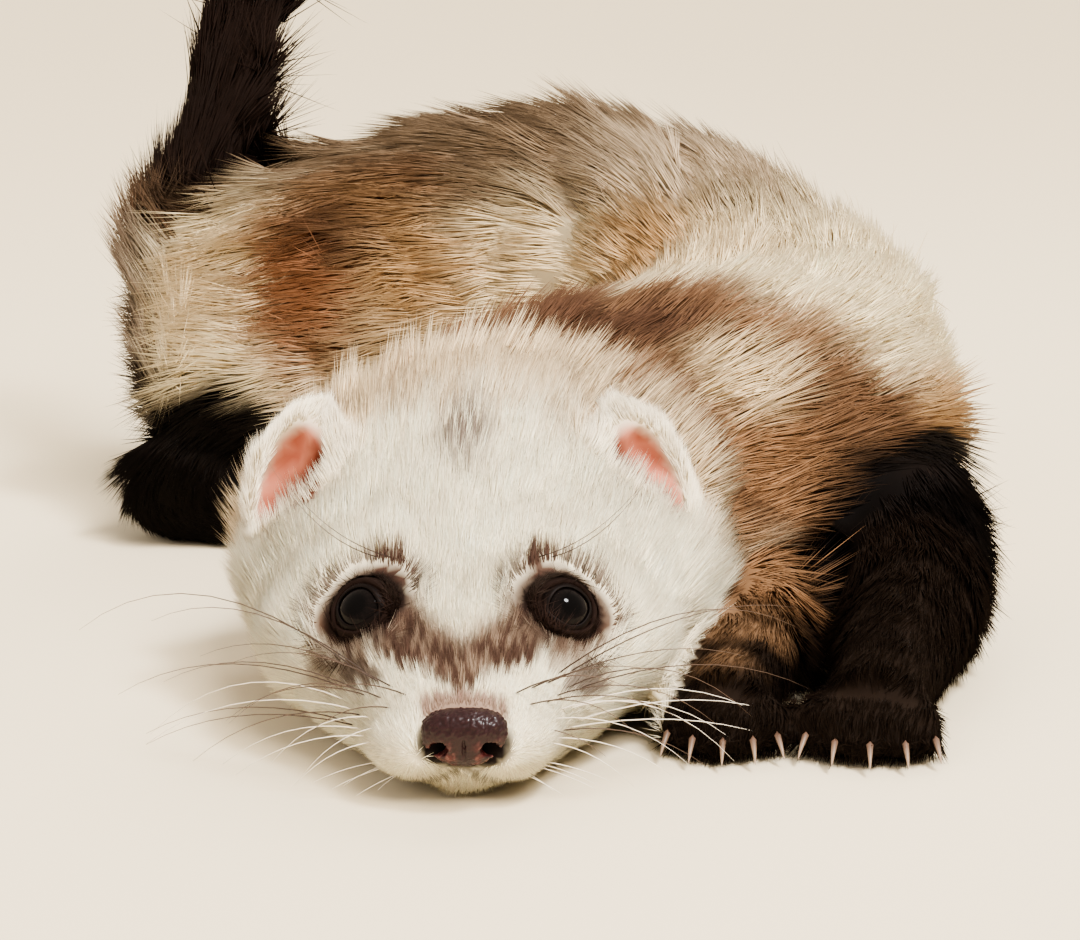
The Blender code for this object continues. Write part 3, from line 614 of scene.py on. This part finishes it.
def with_lips(colour, points):
    """The colour with the dark line of the mouth."""
    across = np.abs(points[:, 0] - HEAD_X)
    lip = np.interp(across, LIP_ACROSS, LIP_HEIGHT)
    near = 1 - smoothstep(0.25, 0.6, np.abs(points[:, 2] - lip))
    return laid(colour, 0.6 * near * (across < LIP_ACROSS[-1]) * (points[:, 1] < LIP_BACK), RIM_AND_SHADE)


def face_marks(points):
    """The pale head with its dark mask, eye surrounds, cheek patches and grey crown."""
    across = points[:, 0] - HEAD_X
    tilt = math.radians(CAMERA_TILT)
    height = points[:, 2] * math.cos(tilt) + points[:, 1] * math.sin(tilt)
    streak = waves(points * np.array([1.0, 0.22, 0.22]), 1.1, 12)
    rough = waves(points, 4.0, 13)
    crown = smoothstep(40, 52, points[:, 1] + 2.5 * rough + 2.0 * streak)
    colour = laid(filled(WHITE, points), 0.9 * crown, TAN)
    colour = laid(colour, 0.5 * crown * smoothstep(0.1, 0.9, streak), BROWN)
    front = 1 - smoothstep(26, 32, points[:, 1])
    colour = with_mask(colour, across, height, front, streak, rough)
    for middle, up, half_wide, half_high, strength, tone in FACE_SPOTS:
        away = np.hypot((across - middle) / half_wide, (height - up) / half_high)
        away += 0.16 * streak + 0.1 * rough
        colour = laid(colour, strength * front * (1 - smoothstep(0.78, 1.14, away)), tone)
    away = eye_distance(points) + 0.3 * streak + 0.2 * rough
    colour = laid(colour, 0.85 * (1 - smoothstep(5.8, 7.1, away)), MASK)
    colour = laid(colour, 0.9 * (1 - smoothstep(4.8, 5.8, away)), RIM_AND_SHADE)
    grey = spot(points, *CROWN_GREY) * smoothstep(-0.5, 0.5, streak)
    colour = laid(colour, 0.9 * grey, GREY)
    low = smoothstep(16, 4, points[:, 2]) * smoothstep(18, 38, points[:, 1])
    return with_lips(laid(colour, 0.3 * low, TAN), points)


def trunk_marks(points, rough, fine):
    """The body behind the head: brown shoulders, a cream flank, a dark back and a pale rump."""
    x, y, z = points.T
    far = smoothstep(88, 112, y + 4 * rough)
    colour = laid(filled(BROWN, points), far, CREAM)
    colour = laid(colour, far * 0.85 * smoothstep(46, 57, z + 2 * rough + 1.5 * fine), BACK)
    for middle, radii, edge, strength, tone in BODY_SPOTS:
        inside = spot(points + 1.2 * fine[:, None], middle, radii, edge)
        colour = laid(colour, strength * inside, tone)
    colour = laid(colour, 0.85 * smoothstep(-58, -66, x + 1.5 * fine) * far, MASK)
    dark = smoothstep(30, 21, z + 2 * rough) * smoothstep(33, 43, x) * (1 - smoothstep(92, 104, y))
    colour = laid(colour, dark, BLACK_AND_SHADE)
    # Black at the throat, between the jaw and the left foreleg: partly the dark leg's own fur,
    # partly painted shadow in the gap there.
    throat_black_and_shade = smoothstep(20, 13, z) * smoothstep(17, 24, x) * (1 - smoothstep(74, 84, y))
    colour = laid(colour, throat_black_and_shade, BLACK_AND_SHADE)
    rump = smoothstep(28, 20, z + 2 * rough) * smoothstep(-40, -47, x)
    return laid(colour, 0.9 * rump, DARK)


def marks(points):
    """The coat's colour at each point."""
    x, y, z = points.T
    _, kind = lie_of(points)
    rough = waves(points, 9.0, 3)
    fine = waves(points, 3.0, 4)
    nape = np.interp(x - HEAD_X, NAPE_ACROSS, NAPE_BACK)
    back = smoothstep(nape - 4, nape + 5, y + 2.5 * rough + 1.5 * fine)
    # The low gap between the jaw and the left foreleg takes the body's colours, with the throat's
    # black and painted shadow.
    back = np.maximum(back, smoothstep(17, 11, z) * smoothstep(16, 23, x) * smoothstep(44, 49, y))
    colour = laid(face_marks(points), back, trunk_marks(points, rough, fine))
    for name, heights in LEG_BLACK.items():
        leg = kind == KIND[name]
        colour = laid(colour, leg * smoothstep(68, 60, y) * 0.95, SHOULDER)
        colour = laid(colour, leg * smoothstep(*heights, z + 2 * rough) * 0.97, BLACK_AND_SHADE)
    tail = kind == TAIL
    colour = laid(colour, 0.75 * tail, BROWN)
    colour = laid(colour, tail * smoothstep(42, 56, z + 2 * rough), DARK)
    colour = laid(colour, ear_mask(points)[0], EAR_RIM)
    colour *= (1 + 0.05 * rough + 0.04 * fine)[:, None]
    return np.clip(colour, 0.002, 1)


def cup_colours(points):
    """The pink inside of the ears, redder towards one edge, with painted shade along that edge and
    in the hollows of the folds.
    """
    deep = np.zeros(len(points))
    for side in SIDES:
        own = in_ear(points, side)
        near = smoothstep(0.35, -0.35, own[:, 0] * side + 0.35 * own[:, 2])
        deep = np.where(on_side(points, side), near, deep)
    # Painted shade: the folds' hollows take more of the darker red; the tone also varies at random.
    tone = 0.3 + 0.5 * deep - 0.25 * ear_folds(points) + 0.2 * waves(points, 2.5, 9)
    colour = laid(filled(PINK, points), tone, RED)
    # Painted shade: near black along that edge, where the head's fur shades the cup.
    return laid(colour, 0.75 * deep * deep, RIM_AND_SHADE)


def skin_colours(points):
    """The coat's colours with painted shade, darker under the long hair, with the bare ears, lids
    and nose bed.
    """
    far = smoothstep(46, 62, points[:, 1])
    # Painted shade: the skin darker than the coat, more so behind the head under the long hair, so
    # that where it shows between tufts it reads as shadow.
    colours = marks(points) * (0.8 - 0.35 * far)[:, None]
    colours = laid(colours, 1 - smoothstep(4.6, 6.0, eye_distance(points)), RIM_AND_SHADE * 0.7)
    colours = laid(colours, ear_mask(points)[1], cup_colours(points))
    return laid(colours, spot(points, *NOSE_BED), NOSE_DARK * 0.5)


def give_colours(obj, colours):
    """Writes a colour for each point, which the materials read."""
    layer = obj.data.color_attributes.new("marks", "FLOAT_COLOR", "POINT")
    flat = np.concatenate([colours, np.ones((len(colours), 1))], axis=1).astype(np.float32)
    layer.data.foreach_set("color", flat.ravel())


def material(name, roughness, specular, colour=None, coat=0.0):
    """A Principled material, in one colour or in the colours that the mesh carries."""
    made = bpy.data.materials.new(name)
    made.use_nodes = True
    tree = made.node_tree
    inputs = tree.nodes["Principled BSDF"].inputs
    inputs["Roughness"].default_value = roughness
    inputs["Specular IOR Level"].default_value = specular
    inputs["Coat Weight"].default_value = coat
    inputs["Coat Roughness"].default_value = 0.04
    if colour is None:
        read = tree.nodes.new("ShaderNodeVertexColor")
        read.layer_name = "marks"
        tree.links.new(read.outputs["Color"], inputs["Base Color"])
    else:
        inputs["Base Color"].default_value = (*colour, 1.0)
    return made


FUR = material("fur", 0.75, 0.18)
SKIN = material("skin", 0.8, 0.15)
NOSE_LEATHER = material("nose_leather", 0.38, 0.35, coat=0.08)
LID = material("lid_skin", 0.5, 0.15, LID_SKIN)
EYE_GLOSS = material("eye_gloss", 0.06, 0.14)
HORN = material("claw_horn", 0.35, 0.45)
WHISKER = material("whisker_hair", 0.4, 0.3)


def finished(obj, look, nodes=(), smooth=True):
    """Gives the piece its material, its body and what it stands for."""
    obj.data.materials.clear()
    obj.data.materials.append(look)
    if smooth:
        obj.data.shade_smooth()
    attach(obj, "root")
    if nodes:
        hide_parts(*nodes)
    return obj


def grown(node):
    """The node's mesh, welded and grown by the gap, so that it runs into its neighbours."""
    part = bmesh.new()
    part.from_mesh(node.data)
    bmesh.ops.remove_doubles(part, verts=part.verts, dist=1e-6)
    part.normal_update()
    for vert in part.verts:
        vert.co += vert.normal * CLOSE_GAP * MM
    mesh = bpy.data.meshes.new("part")
    part.to_mesh(mesh)
    part.free()
    return mesh


def joined_flesh():
    """One object with the grown meshes of all the flesh nodes."""
    whole = bmesh.new()
    for name in FLESH:
        mesh = grown(NODES[name])
        whole.from_mesh(mesh)
        bpy.data.meshes.remove(mesh)
    mesh = bpy.data.meshes.new("skin")
    whole.to_mesh(mesh)
    whole.free()
    return linked("skin", mesh)


def group_body(skin):
    """A group of the points behind the head, weaker towards it and without the ears."""
    points = points_of(skin)
    body = smoothstep(50, 60, points[:, 1]) * (1 - ear_mask(points)[0])
    group = skin.vertex_groups.new(name="body")
    for level in np.unique(np.round(body, 1)):
        chosen = np.where(np.round(body, 1) == level)[0]
        group.add(chosen.tolist(), float(level), "REPLACE")


def sink(skin):
    """Moves the skin in by the coat's depth, with the ears' folds, the floor and the tail's end."""
    points = points_of(skin)
    normals = normals_of(skin)
    points -= normals * (skin_depth(points) + CLOSE_GAP)[:, None]
    points += normals * (EAR_FOLD * ear_folds(points))[:, None]
    points[:, 2] = np.maximum(points[:, 2], SKIN_LOW)
    high = points[:, 2] > TAIL_END[0]
    points[high, 2] = TAIL_END[0] + (points[high, 2] - TAIL_END[0]) * TAIL_END[1]
    set_points(skin, points)


def make_skin():
    """The flesh closed into one skin, smoothed, sunk under the coat and thinned out."""
    skin = joined_flesh()
    remesh_with(skin, SKIN_VOXEL)
    soften_with(skin, 3)
    apply_modifiers(skin)
    group_body(skin)
    soften_with(skin, BODY_STEPS, "body")
    apply_modifiers(skin)
    sink(skin)
    soften_with(skin, 2)
    thin = skin.modifiers.new("thin_out", "DECIMATE")
    thin.ratio = SKIN_TRIANGLES / (2 * len(skin.data.polygons))
    thin.use_collapse_triangulate = True
    apply_modifiers(skin)
    give_colours(skin, skin_colours(points_of(skin)))
    return finished(skin, SKIN, FLESH)


def unwrap(obj):
    """Each triangle's three places on a flat unwrap of the object."""
    bpy.ops.object.select_all(action="DESELECT")
    obj.select_set(True)
    bpy.context.view_layer.objects.active = obj
    bpy.ops.object.mode_set(mode="EDIT")
    bpy.ops.mesh.select_all(action="SELECT")
    bpy.ops.uv.smart_project(angle_limit=1.15, island_margin=0.002)
    bpy.ops.object.mode_set(mode="OBJECT")
    obj.data.uv_layers[0].name = "OFBake"
    obj.data.calc_loop_triangles()
    loops = np.empty(len(obj.data.loop_triangles) * 3, np.int32)
    obj.data.loop_triangles.foreach_get("loops", loops)
    flat = np.empty(len(obj.data.loops) * 2, np.float32)
    obj.data.uv_layers[0].data.foreach_get("uv", flat)
    return flat.reshape(-1, 2)[loops].reshape(-1, 3, 2).astype(float)


def scatter(skin, places, density, seed):
    """Roots on the skin, so many to a square millimetre: place, normal, flat place."""
    draw = np.random.default_rng(seed)
    faces = triangles_of(skin)
    normals = normals_of(skin)
    corners = points_of(skin)[faces]
    across = np.cross(corners[:, 1] - corners[:, 0], corners[:, 2] - corners[:, 0])
    area = np.linalg.norm(across, axis=1) / 2
    wanted = area * density(corners.mean(axis=1))
    count = int(wanted.sum())
    face = draw.choice(len(faces), size=count, p=wanted / wanted.sum())
    a, b = draw.random((2, count))
    over = a + b > 1
    a[over], b[over] = 1 - a[over], 1 - b[over]
    share = np.stack([1 - a - b, a, b], axis=1)[:, :, None]
    root = (corners[face] * share).sum(axis=1)
    normal = unit((normals[faces[face]] * share).sum(axis=1))
    return root, normal, (places[face] * share).sum(axis=1)


def tuft_mesh(name, roots, normals, ways, lengths, widths, lifts, colours, flat):
    """One closed three-sided spike a root, lying over along its way, all in one mesh, with painted
    shade at its root and painted light at its tip.
    """
    count = len(roots)
    side = np.cross(ways, normals)
    side /= np.maximum(np.linalg.norm(side, axis=1), 1e-6)[:, None]
    start = roots - normals * np.minimum(0.3, lengths * 0.06)[:, None]
    points = np.empty((count, len(TUFT_FLOORS), 3))
    for corner, (across, up) in enumerate(TUFT_CORNERS):
        points[:, corner] = start + (side * across + normals * up) * (widths * 0.5)[:, None]
    points[:, -1] = start + (ways + normals * lifts[:, None]) * lengths[:, None]
    points[:, :, 2] = np.maximum(points[:, :, 2], TUFT_FLOORS)
    first = np.arange(count)[:, None, None] * len(TUFT_FLOORS)
    faces = (first + TUFT_FACES[None]).reshape(-1, 3)
    obj = new_mesh(name, points.reshape(-1, 3), faces)
    # Painted shade: each tuft darker at its root, where the coat shades itself (less for pale
    # hair), and lighter at the tip.
    deep = 0.66 + 0.26 * np.clip(colours.mean(axis=1) / 0.6, 0, 1)
    shade = np.stack([deep, deep, deep, np.full(count, TIP_SHADE)], axis=1)
    shaded = (colours[:, None] * shade[:, :, None]).reshape(-1, 3)
    give_colours(obj, np.clip(shaded, 0.001, 1))
    layer = obj.data.uv_layers.new(name="OFBake")
    spots = (flat[:, None] + TUFT_PATCH[None]).reshape(-1, 2)
    layer.data.foreach_set("uv", spots[faces.ravel()].astype(np.float32).ravel())
    return obj


def coat_ways(roots, normals, draw, wander, loose):
    """The lie at each root, flat against the skin, with locks that lean together."""
    lie, _ = lie_of(roots)
    ear, _ = ear_mask(roots)
    for side in SIDES:
        placed = ear_frame(side)
        near = (ear * on_side(roots, side))[:, None]
        own = in_ear(roots, side)
        over = smoothstep(-0.15, -0.6, own[:, 0] * side) * smoothstep(0.5, -0.2, own[:, 1])
        up = placed[:3, 2] + 1.5 * side * over[:, None] * placed[:3, 0]
        lie = lie * (1 - near) + near * up
        away = roots - eye_centre(side)
        size = np.linalg.norm(away, axis=1)
        close = 0.8 * (1 - smoothstep(4.5, 8.0, size))[:, None]
        lie = lie * (1 - close) + away / size[:, None] * close
    waved = np.stack([waves(roots, 7.0, seed) for seed in LEAN_SEEDS], axis=1)
    lie = lie + wander * waved + loose * draw.normal(size=roots.shape)
    lie = flattened(lie, normals)
    lie[np.linalg.norm(lie, axis=1) < 1e-3] = np.array([0, 1, 0])
    return unit(lie)


def bare(points):
    """0 where the coat leaves the eyes and the nose bare, little in the ears' cups, else 1."""
    keep = np.ones(len(points))
    for side in SIDES:
        out = points - eye_centre(side)
        size = np.linalg.norm(out, axis=1)
        keep *= size > np.where(out @ eye_way(side) > 0.5 * size, EYE_BARE, EYE_RADIUS + 0.2)
    middle, radii = NOSE_BARE
    keep *= np.linalg.norm((points - np.array(middle)) / np.array(radii), axis=1) > 1
    return keep * np.where(ear_mask(points)[1] < 0.35, 1.0, CUP_COAT)


def coat(skin, places, name, density, width, style, seed):
    """One layer of the coat, in pieces under the size that the export takes."""
    lift, wander, loose, seen = style
    share = 1.0
    draw = np.random.default_rng(seed)
    roots, normals, flat = scatter(skin, places, lambda p: density(p) * share * bare(p), seed)
    keep = (bare(roots) > 0.1) & (roots[:, 2] > 0.6)
    roots, normals, flat = roots[keep], normals[keep], flat[keep]
    ways = coat_ways(roots, normals, draw, wander, loose)
    count = len(roots)
    locks = waves(roots, 5.0, 31)
    length = hair_length(roots) * varied(draw, count, 0.72, 0.5) * (1 + 0.12 * locks)
    seen = seen * smoothstep(6.0, 10.0, eye_distance(roots))
    colours = marks(roots + ways * (length * seen)[:, None])
    colours = colours * np.clip(1 + 0.09 * draw.normal(size=count), 0.7, 1.3)[:, None]
    on_tail = np.where(lie_of(roots)[1] == TAIL, 1.35, 1.0)
    lifts = (lift * (1 + 0.35 * draw.random(count)) + 0.05 * locks) * on_tail
    lifts *= 1 + 0.8 * ear_mask(roots)[0]
    widths = width(roots) * varied(draw, count, 0.75, 0.5)
    tufts = (roots, normals, ways, length, widths, lifts, colours, flat)
    order = np.argsort(roots[:, 1], kind="stable")
    pieces = math.ceil(count * len(TUFT_FACES) / PIECE_TRIANGLES)
    for number, chosen in enumerate(np.array_split(order, pieces)):
        piece = tuft_mesh(f"{name}_{number + 1}", *(part[chosen] for part in tufts))
        finished(piece, FUR, smooth=False)


def head_density(points):
    """Tufts to a square millimetre on the head, densest on the muzzle."""
    near = 1 - smoothstep(54, 62, points[:, 1])
    ear, _ = ear_mask(points)
    face = np.interp(points[:, 1], *HEAD_DENSITY)
    return near * (lie_of(points)[1] == KIND["trunk"]) * np.maximum(face, EAR_DENSITY * ear)


def body_density(points):
    """Tufts to a square millimetre on the body, legs and tail."""
    far = smoothstep(52, 60, points[:, 1])
    _, kind = lie_of(points)
    legs = np.isin(kind, [KIND[name] for name in LEG_BLACK])
    low = np.interp(points[:, 2], *LEG_DENSITY)
    return np.where(legs, low, far * np.where(kind == TAIL, TAIL_DENSITY, TRUNK_DENSITY))


def head_width(points):
    """The width of the head's tufts."""
    ear, _ = ear_mask(points)
    return np.interp(points[:, 1], *HEAD_WIDTH) * (1 - ear) + EAR_WIDTH * ear


def body_width(points):
    """The width of the body's tufts."""
    return np.interp(hair_length(points), *BODY_WIDTH)


def eye_frame(side):
    """The matrix of an eye: own Z the way that it looks, X level."""
    way = Vector(eye_way(side)).normalized()
    level = Vector((-way.y, way.x, 0.0)).normalized()
    axes = Matrix((level, way.cross(level), way)).transposed()
    return Matrix.Translation(Vector(eye_centre(side))) @ axes.to_4x4()


def eye_colours(points):
    """Black with a slightly paler streaked iris, for points about an eye's own centre."""
    out = np.hypot(points[:, 0], points[:, 1]) / EYE_RADIUS
    turn = np.arctan2(points[:, 1], points[:, 0])
    iris = (points[:, 2] > 0) * (1 - smoothstep(0.6, 0.76, out)) * smoothstep(0.3, 0.46, out)
    streak = 0.75 + 0.25 * np.sin(turn * 31 + 3 * np.sin(turn * 7))
    return laid(filled(EYE_BLACK, points), iris * streak, IRIS)


def make_eyes():
    """A glossy dark eye and its lids on each side."""
    for side, end in zip(SIDES, ("left", "right")):
        placed = eye_frame(side)
        bm = bmesh.new()
        bmesh.ops.create_uvsphere(bm, u_segments=64, v_segments=40, radius=EYE_RADIUS)
        points = np.array([vert.co for vert in bm.verts])
        bmesh.ops.triangulate(bm, faces=bm.faces[:])
        faces = [[vert.index for vert in face.verts] for face in bm.faces]
        bm.free()
        eye = new_mesh("eye_ball_" + end, [placed @ Vector(point) for point in points], faces)
        give_colours(eye, eye_colours(points))
        finished(eye, EYE_GLOSS, ["eye_" + end])
        finished(new_mesh("lid_" + end, *lid_shell(placed)), LID)


def lid_edge(turn):
    """The angle from the eye's axis at which its opening ends, at each turn about the axis."""
    wide = LID_WIDE + LID_CORNER * np.abs(np.cos(turn)) ** 6
    tall = np.where(np.sin(turn) < 0, LID_LOW, LID_HIGH)
    return np.arcsin(np.hypot(wide * np.cos(turn), tall * np.sin(turn)) / LID_RADII[1])


def on_ball(placed, angle, turn, radius):
    """The place at an angle from the eye's axis, a turn about it and a distance from its centre."""
    flat = radius * np.sin(angle)
    own = np.stack([flat * np.cos(turn), flat * np.sin(turn), radius * np.cos(angle)], axis=-1)
    matrix = np.array(placed)
    return own @ matrix[:3, :3].T + matrix[:3, 3]


def lid_shell(placed):
    """Both lids as one thin shell over the ball, with a rounded edge round the opening."""
    turns = np.arange(LID_STEPS) * 2 * math.pi / LID_STEPS
    edge = lid_edge(turns)
    end = np.full(LID_STEPS, LID_END)
    inner, outer = LID_RADII
    section = (
        (end, inner), (edge + 0.05, inner), (edge, (inner + outer) / 2),
        (edge + 0.03, outer - 0.04), (edge + 0.1, outer), ((edge + LID_END) / 2, outer),
        (end, outer),
    )
    rings = [on_ball(placed, angle, turns, radius) for angle, radius in section]
    points = np.stack(rings, axis=1).reshape(-1, 3)
    size = len(section)
    faces = []
    for i in range(LID_STEPS):
        for j in range(size):
            here, after = i * size, (i + 1) % LID_STEPS * size
            faces.append((here + j, after + j, after + (j + 1) % size, here + (j + 1) % size))
    return points, faces


def lid_fur(skin, places):
    """Short dark hairs on the lids that lie away from the eyes."""
    draw = np.random.default_rng(LID_SEED)
    centres = points_of(skin)[triangles_of(skin)].mean(axis=1)
    radius = LID_RADII[1] - 0.02
    rows = []
    for side in SIDES:
        eye = eye_centre(side)
        placed = eye_frame(side)
        turn = draw.random(LID_HAIRS) * 2 * math.pi
        start = lid_edge(turn) + 0.06
        share = draw.random(LID_HAIRS)
        angle = start + (LID_END - start) * share**0.8
        roots = on_ball(placed, angle, turn, radius)
        normals = unit(roots - eye)
        ways = on_ball(placed, angle + 0.1, turn, radius) - roots
        ways += 0.1 * draw.normal(size=ways.shape)
        ways = unit(flattened(ways, normals))
        near = np.where(np.linalg.norm(centres - eye, axis=1) < 12)[0]
        away = np.linalg.norm(roots[:, None] - centres[near][None], axis=2)
        flat = places[near[away.argmin(axis=1)]].mean(axis=1)
        colours = laid(marks(roots), 0.9 * (1 - smoothstep(0.1, 0.4, angle - start)), RIM_AND_SHADE)
        rows.append((roots, normals, ways, 0.9 + 1.5 * share, colours, flat))
    roots, normals, ways, lengths, colours, flat = (np.concatenate(part) for part in zip(*rows))
    lengths = lengths * varied(draw, len(roots), 0.8, 0.4)
    widths = LID_HAIR_WIDTH * varied(draw, len(roots), 0.8, 0.4)
    lifts = varied(draw, len(roots), 0.1, 0.08)
    made = tuft_mesh("coat_lids", roots, normals, ways, lengths, widths, lifts, colours, flat)
    finished(made, FUR, smooth=False)


def make_nose():
    """The nose pad in fine pebbled leather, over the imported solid's own form."""
    nose = linked("nose_pad", NODES["nose"].data.copy())
    remesh_with(nose, NOSE_VOXEL)
    soften_with(nose, 8)
    apply_modifiers(nose)
    points = points_of(nose)
    pebbles = np.abs(waves(points, 0.8, 41)) + 0.7 * np.abs(waves(points, 0.5, 42))
    points += normals_of(nose) * (NOSE_PEBBLE * pebbles)[:, None]
    set_points(nose, points)
    across = np.abs(points[:, 0] - NOSE_X)
    low = smoothstep(9.6, 6.6, points[:, 2]) * smoothstep(0.5, 1.6, across)
    red = low * smoothstep(-0.7, 0.8, waves(points, 1.7, 43))
    fleck = low * smoothstep(0.25, 0.9, waves(points, 0.9, 44))
    colour = laid(filled(NOSE_DARK, points), 0.12 + 0.8 * red, NOSE_RED)
    colour = laid(colour, 0.55 * fleck, NOSE_PINK)
    # Painted shade: darker in the hollows between the pebbles.
    colour *= (0.55 + 0.5 * np.clip(pebbles, 0, 1))[:, None]
    give_colours(nose, colour)
    finished(nose, NOSE_LEATHER, ["nose"])


def make_claws():
    """The claws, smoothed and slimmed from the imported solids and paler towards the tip."""
    for name in NODES:
        if not name.startswith("claw_"):
            continue
        claw = linked(name.replace("claw", "horn"), NODES[name].data.copy())
        weld = claw.modifiers.new("weld", "WELD")
        weld.merge_threshold = 1e-6
        soft = claw.modifiers.new("round", "SUBSURF")
        soft.levels = soft.render_levels = 2
        apply_modifiers(claw)
        points = points_of(claw)
        middle = points.mean(axis=0)
        way = np.linalg.svd(points - middle, full_matrices=False)[2][0]
        core = middle + ((points - middle) @ way)[:, None] * way
        points = core + (points - core) * CLAW_SLIM
        set_points(claw, points)
        share = (points[:, 2] - points[:, 2].min()) / max(1e-6, np.ptp(points[:, 2]))
        give_colours(claw, laid(filled(CLAW_TIP, points), share, CLAW_ROOT))
        finished(claw, HORN, [name])


def tube(rows, sides):
    """Points and faces of a closed tube through rows of x, y, z and radius."""
    rows = np.array(rows, float)
    points, faces = [], []
    across = np.array([0.0, 0.0, 1.0])
    for row, way in zip(rows, unit(np.gradient(rows[:, :3], axis=0))):
        across = across - way * across.dot(way)
        across /= np.linalg.norm(across)
        other = np.cross(way, across)
        for turn in np.arange(sides) * 2 * math.pi / sides:
            points.append(row[:3] + row[3] * (across * math.cos(turn) + other * math.sin(turn)))
    last = (len(rows) - 1) * sides
    for ring in range(0, last, sides):
        for i in range(sides):
            a, b = ring + i, ring + (i + 1) % sides
            faces.append((a, b, b + sides))
            faces.append((a, b + sides, a + sides))
    for i in range(1, sides - 1):
        faces.append((0, i + 1, i))
        faces.append((last, last + i, last + i + 1))
    return points, faces


def whisker(root, side, reach, rise, end, sweep, taper):
    """Rows of one whisker in an even arc: out to a side, its tip at the height given."""
    rows = []
    for t in np.linspace(0, 1, 11):
        x = root[0] + side * (reach * (t - 0.1 * t * t) - 1.2)
        y = root[1] + reach * (sweep * t + 0.22 * t * t) + 0.8 * (1 - t)
        z = root[2] + (max(end, HAIR_FLOOR) - root[2]) * t * t + rise * reach * t * (1 - t) * 2
        rows.append((x, y, z, taper * (1 - t) + TIP_RADIUS))
    return rows


def muzzle_whiskers(side, draw, dark, pale):
    """The long whiskers in rows, the upper rows dark and the lower ones mostly pale."""
    for row in range(MUZZLE_ROWS):
        for place in range(MUZZLE_HAIRS):
            root = (HEAD_X + side * (6.0 + 1.3 * place), 5.0 + 1.5 * place, 11.8 - 1.8 * row)
            reach = (15 + 5.5 * place) * (0.85 + 0.3 * draw.random())
            rise = (0.34 - 0.07 * row) * (0.7 + 0.6 * draw.random())
            end = root[2] + reach * (0.02 - 0.2 * row + 0.16 * draw.random())
            made = dark if row < DARK_ROWS or draw.random() < 0.35 else pale
            made.append(whisker(root, side, reach, rise, end, -0.12 + 0.1 * place, MUZZLE_TAPER))


def short_whiskers(side, draw, dark, pale):
    """The dark hairs over an eye and the pale ones under the chin."""
    for number in range(BROW_HAIRS):
        root = (HEAD_X + side * (10.0 + 1.6 * number), 23.0, 24.2)
        reach = 12 + 4 * draw.random()
        dark.append(whisker(root, side, reach, 0.1, 33 + 2 * number, 0.3, BROW_TAPER))
    for number in range(CHIN_HAIRS):
        root = (HEAD_X + side * (2.5 + 1.3 * number), 7.0, 4.2)
        reach = 7 + 6 * draw.random()
        sweep = -0.5 + 0.1 * number
        pale.append(whisker(root, side, reach, 0.0, HAIR_FLOOR, sweep, CHIN_TAPER))


def make_whiskers():
    """All the whiskers, as one piece of dark ones and one of pale ones."""
    draw = np.random.default_rng(WHISKER_SEED)
    dark, pale = [], []
    for side in SIDES:
        muzzle_whiskers(side, draw, dark, pale)
        short_whiskers(side, draw, dark, pale)
    for name, made, tones in (("dark", dark, WHISKER_DARK), ("pale", pale, WHISKER_PALE)):
        points, faces, shares = [], [], []
        for rows in made:
            some, cells = tube(rows, HAIR_SIDES)
            faces += [tuple(index + len(points) for index in face) for face in cells]
            points += some
            shares += np.repeat(np.linspace(0, 1, len(rows)), HAIR_SIDES).tolist()
        obj = new_mesh("whiskers_" + name, points, faces)
        give_colours(obj, laid(filled(tones[0], points), np.array(shares), tones[1]))
        finished(obj, WHISKER)


def make_floor():
    """A plain pale floor that fills the picture."""
    bm = bmesh.new()
    bmesh.ops.create_grid(bm, x_segments=1, y_segments=1, size=FLOOR_HALF)
    mesh = bpy.data.meshes.new("floor")
    bm.to_mesh(mesh)
    bm.free()
    floor = linked("floor", mesh)
    floor.data.materials.append(material("floor", 0.9, 0.1, FLOOR))


def aimed(name, lamp, place):
    """The lamp at its place, turned to the ferret's head."""
    obj = linked(name, lamp)
    obj.location = place
    aim = Vector(LIGHT_AIM) - Vector(place)
    obj.rotation_euler = aim.to_track_quat("-Z", "Y").to_euler()
    return obj


def add_light():
    """A pale room, soft suns that the gloss doesn't show, and a small light for the eyes."""
    bpy.context.scene.view_settings.look = "AgX - Medium High Contrast"
    world = bpy.data.worlds.new("room")
    bpy.context.scene.world = world
    world.use_nodes = True
    inputs = world.node_tree.nodes["Background"].inputs
    inputs["Color"].default_value = (*ROOM, 1)
    inputs["Strength"].default_value = ROOM_STRENGTH
    for name, place, strength, spread, colour in SUNS:
        lamp = bpy.data.lights.new(name, "SUN")
        lamp.energy = strength
        lamp.angle = spread
        lamp.color = tuple(colour)
        aimed(name, lamp, place).visible_glossy = False
    lamp = bpy.data.lights.new("catch", "AREA")
    lamp.shape = "DISK"
    lamp.size = CATCH_SIZE
    lamp.energy = CATCH_POWER
    aimed("catch", lamp, CATCH_PLACE)


def add_camera():
    """The photo's camera."""
    lens = bpy.data.cameras.new("camera")
    lens.lens = CAMERA_LENS
    lens.sensor_width = CAMERA_SENSOR
    lens.clip_start = 0.01
    obj = linked("camera", lens)
    obj.location = to_row([CAMERA_PLACE])[0]
    obj.rotation_euler = (math.radians(90 - CAMERA_TILT), 0.0, 0.0)
    bpy.context.scene.camera = obj


def main():
    skin = make_skin()
    places = unwrap(skin)
    coat(skin, places, "coat_head", head_density, head_width, HEAD_STYLE, HEAD_SEED)
    coat(skin, places, "coat_body", body_density, body_width, BODY_STYLE, BODY_SEED)
    lid_fur(skin, places)
    make_eyes()
    make_nose()
    make_claws()
    make_whiskers()
    make_floor()
    add_light()
    add_camera()


main()
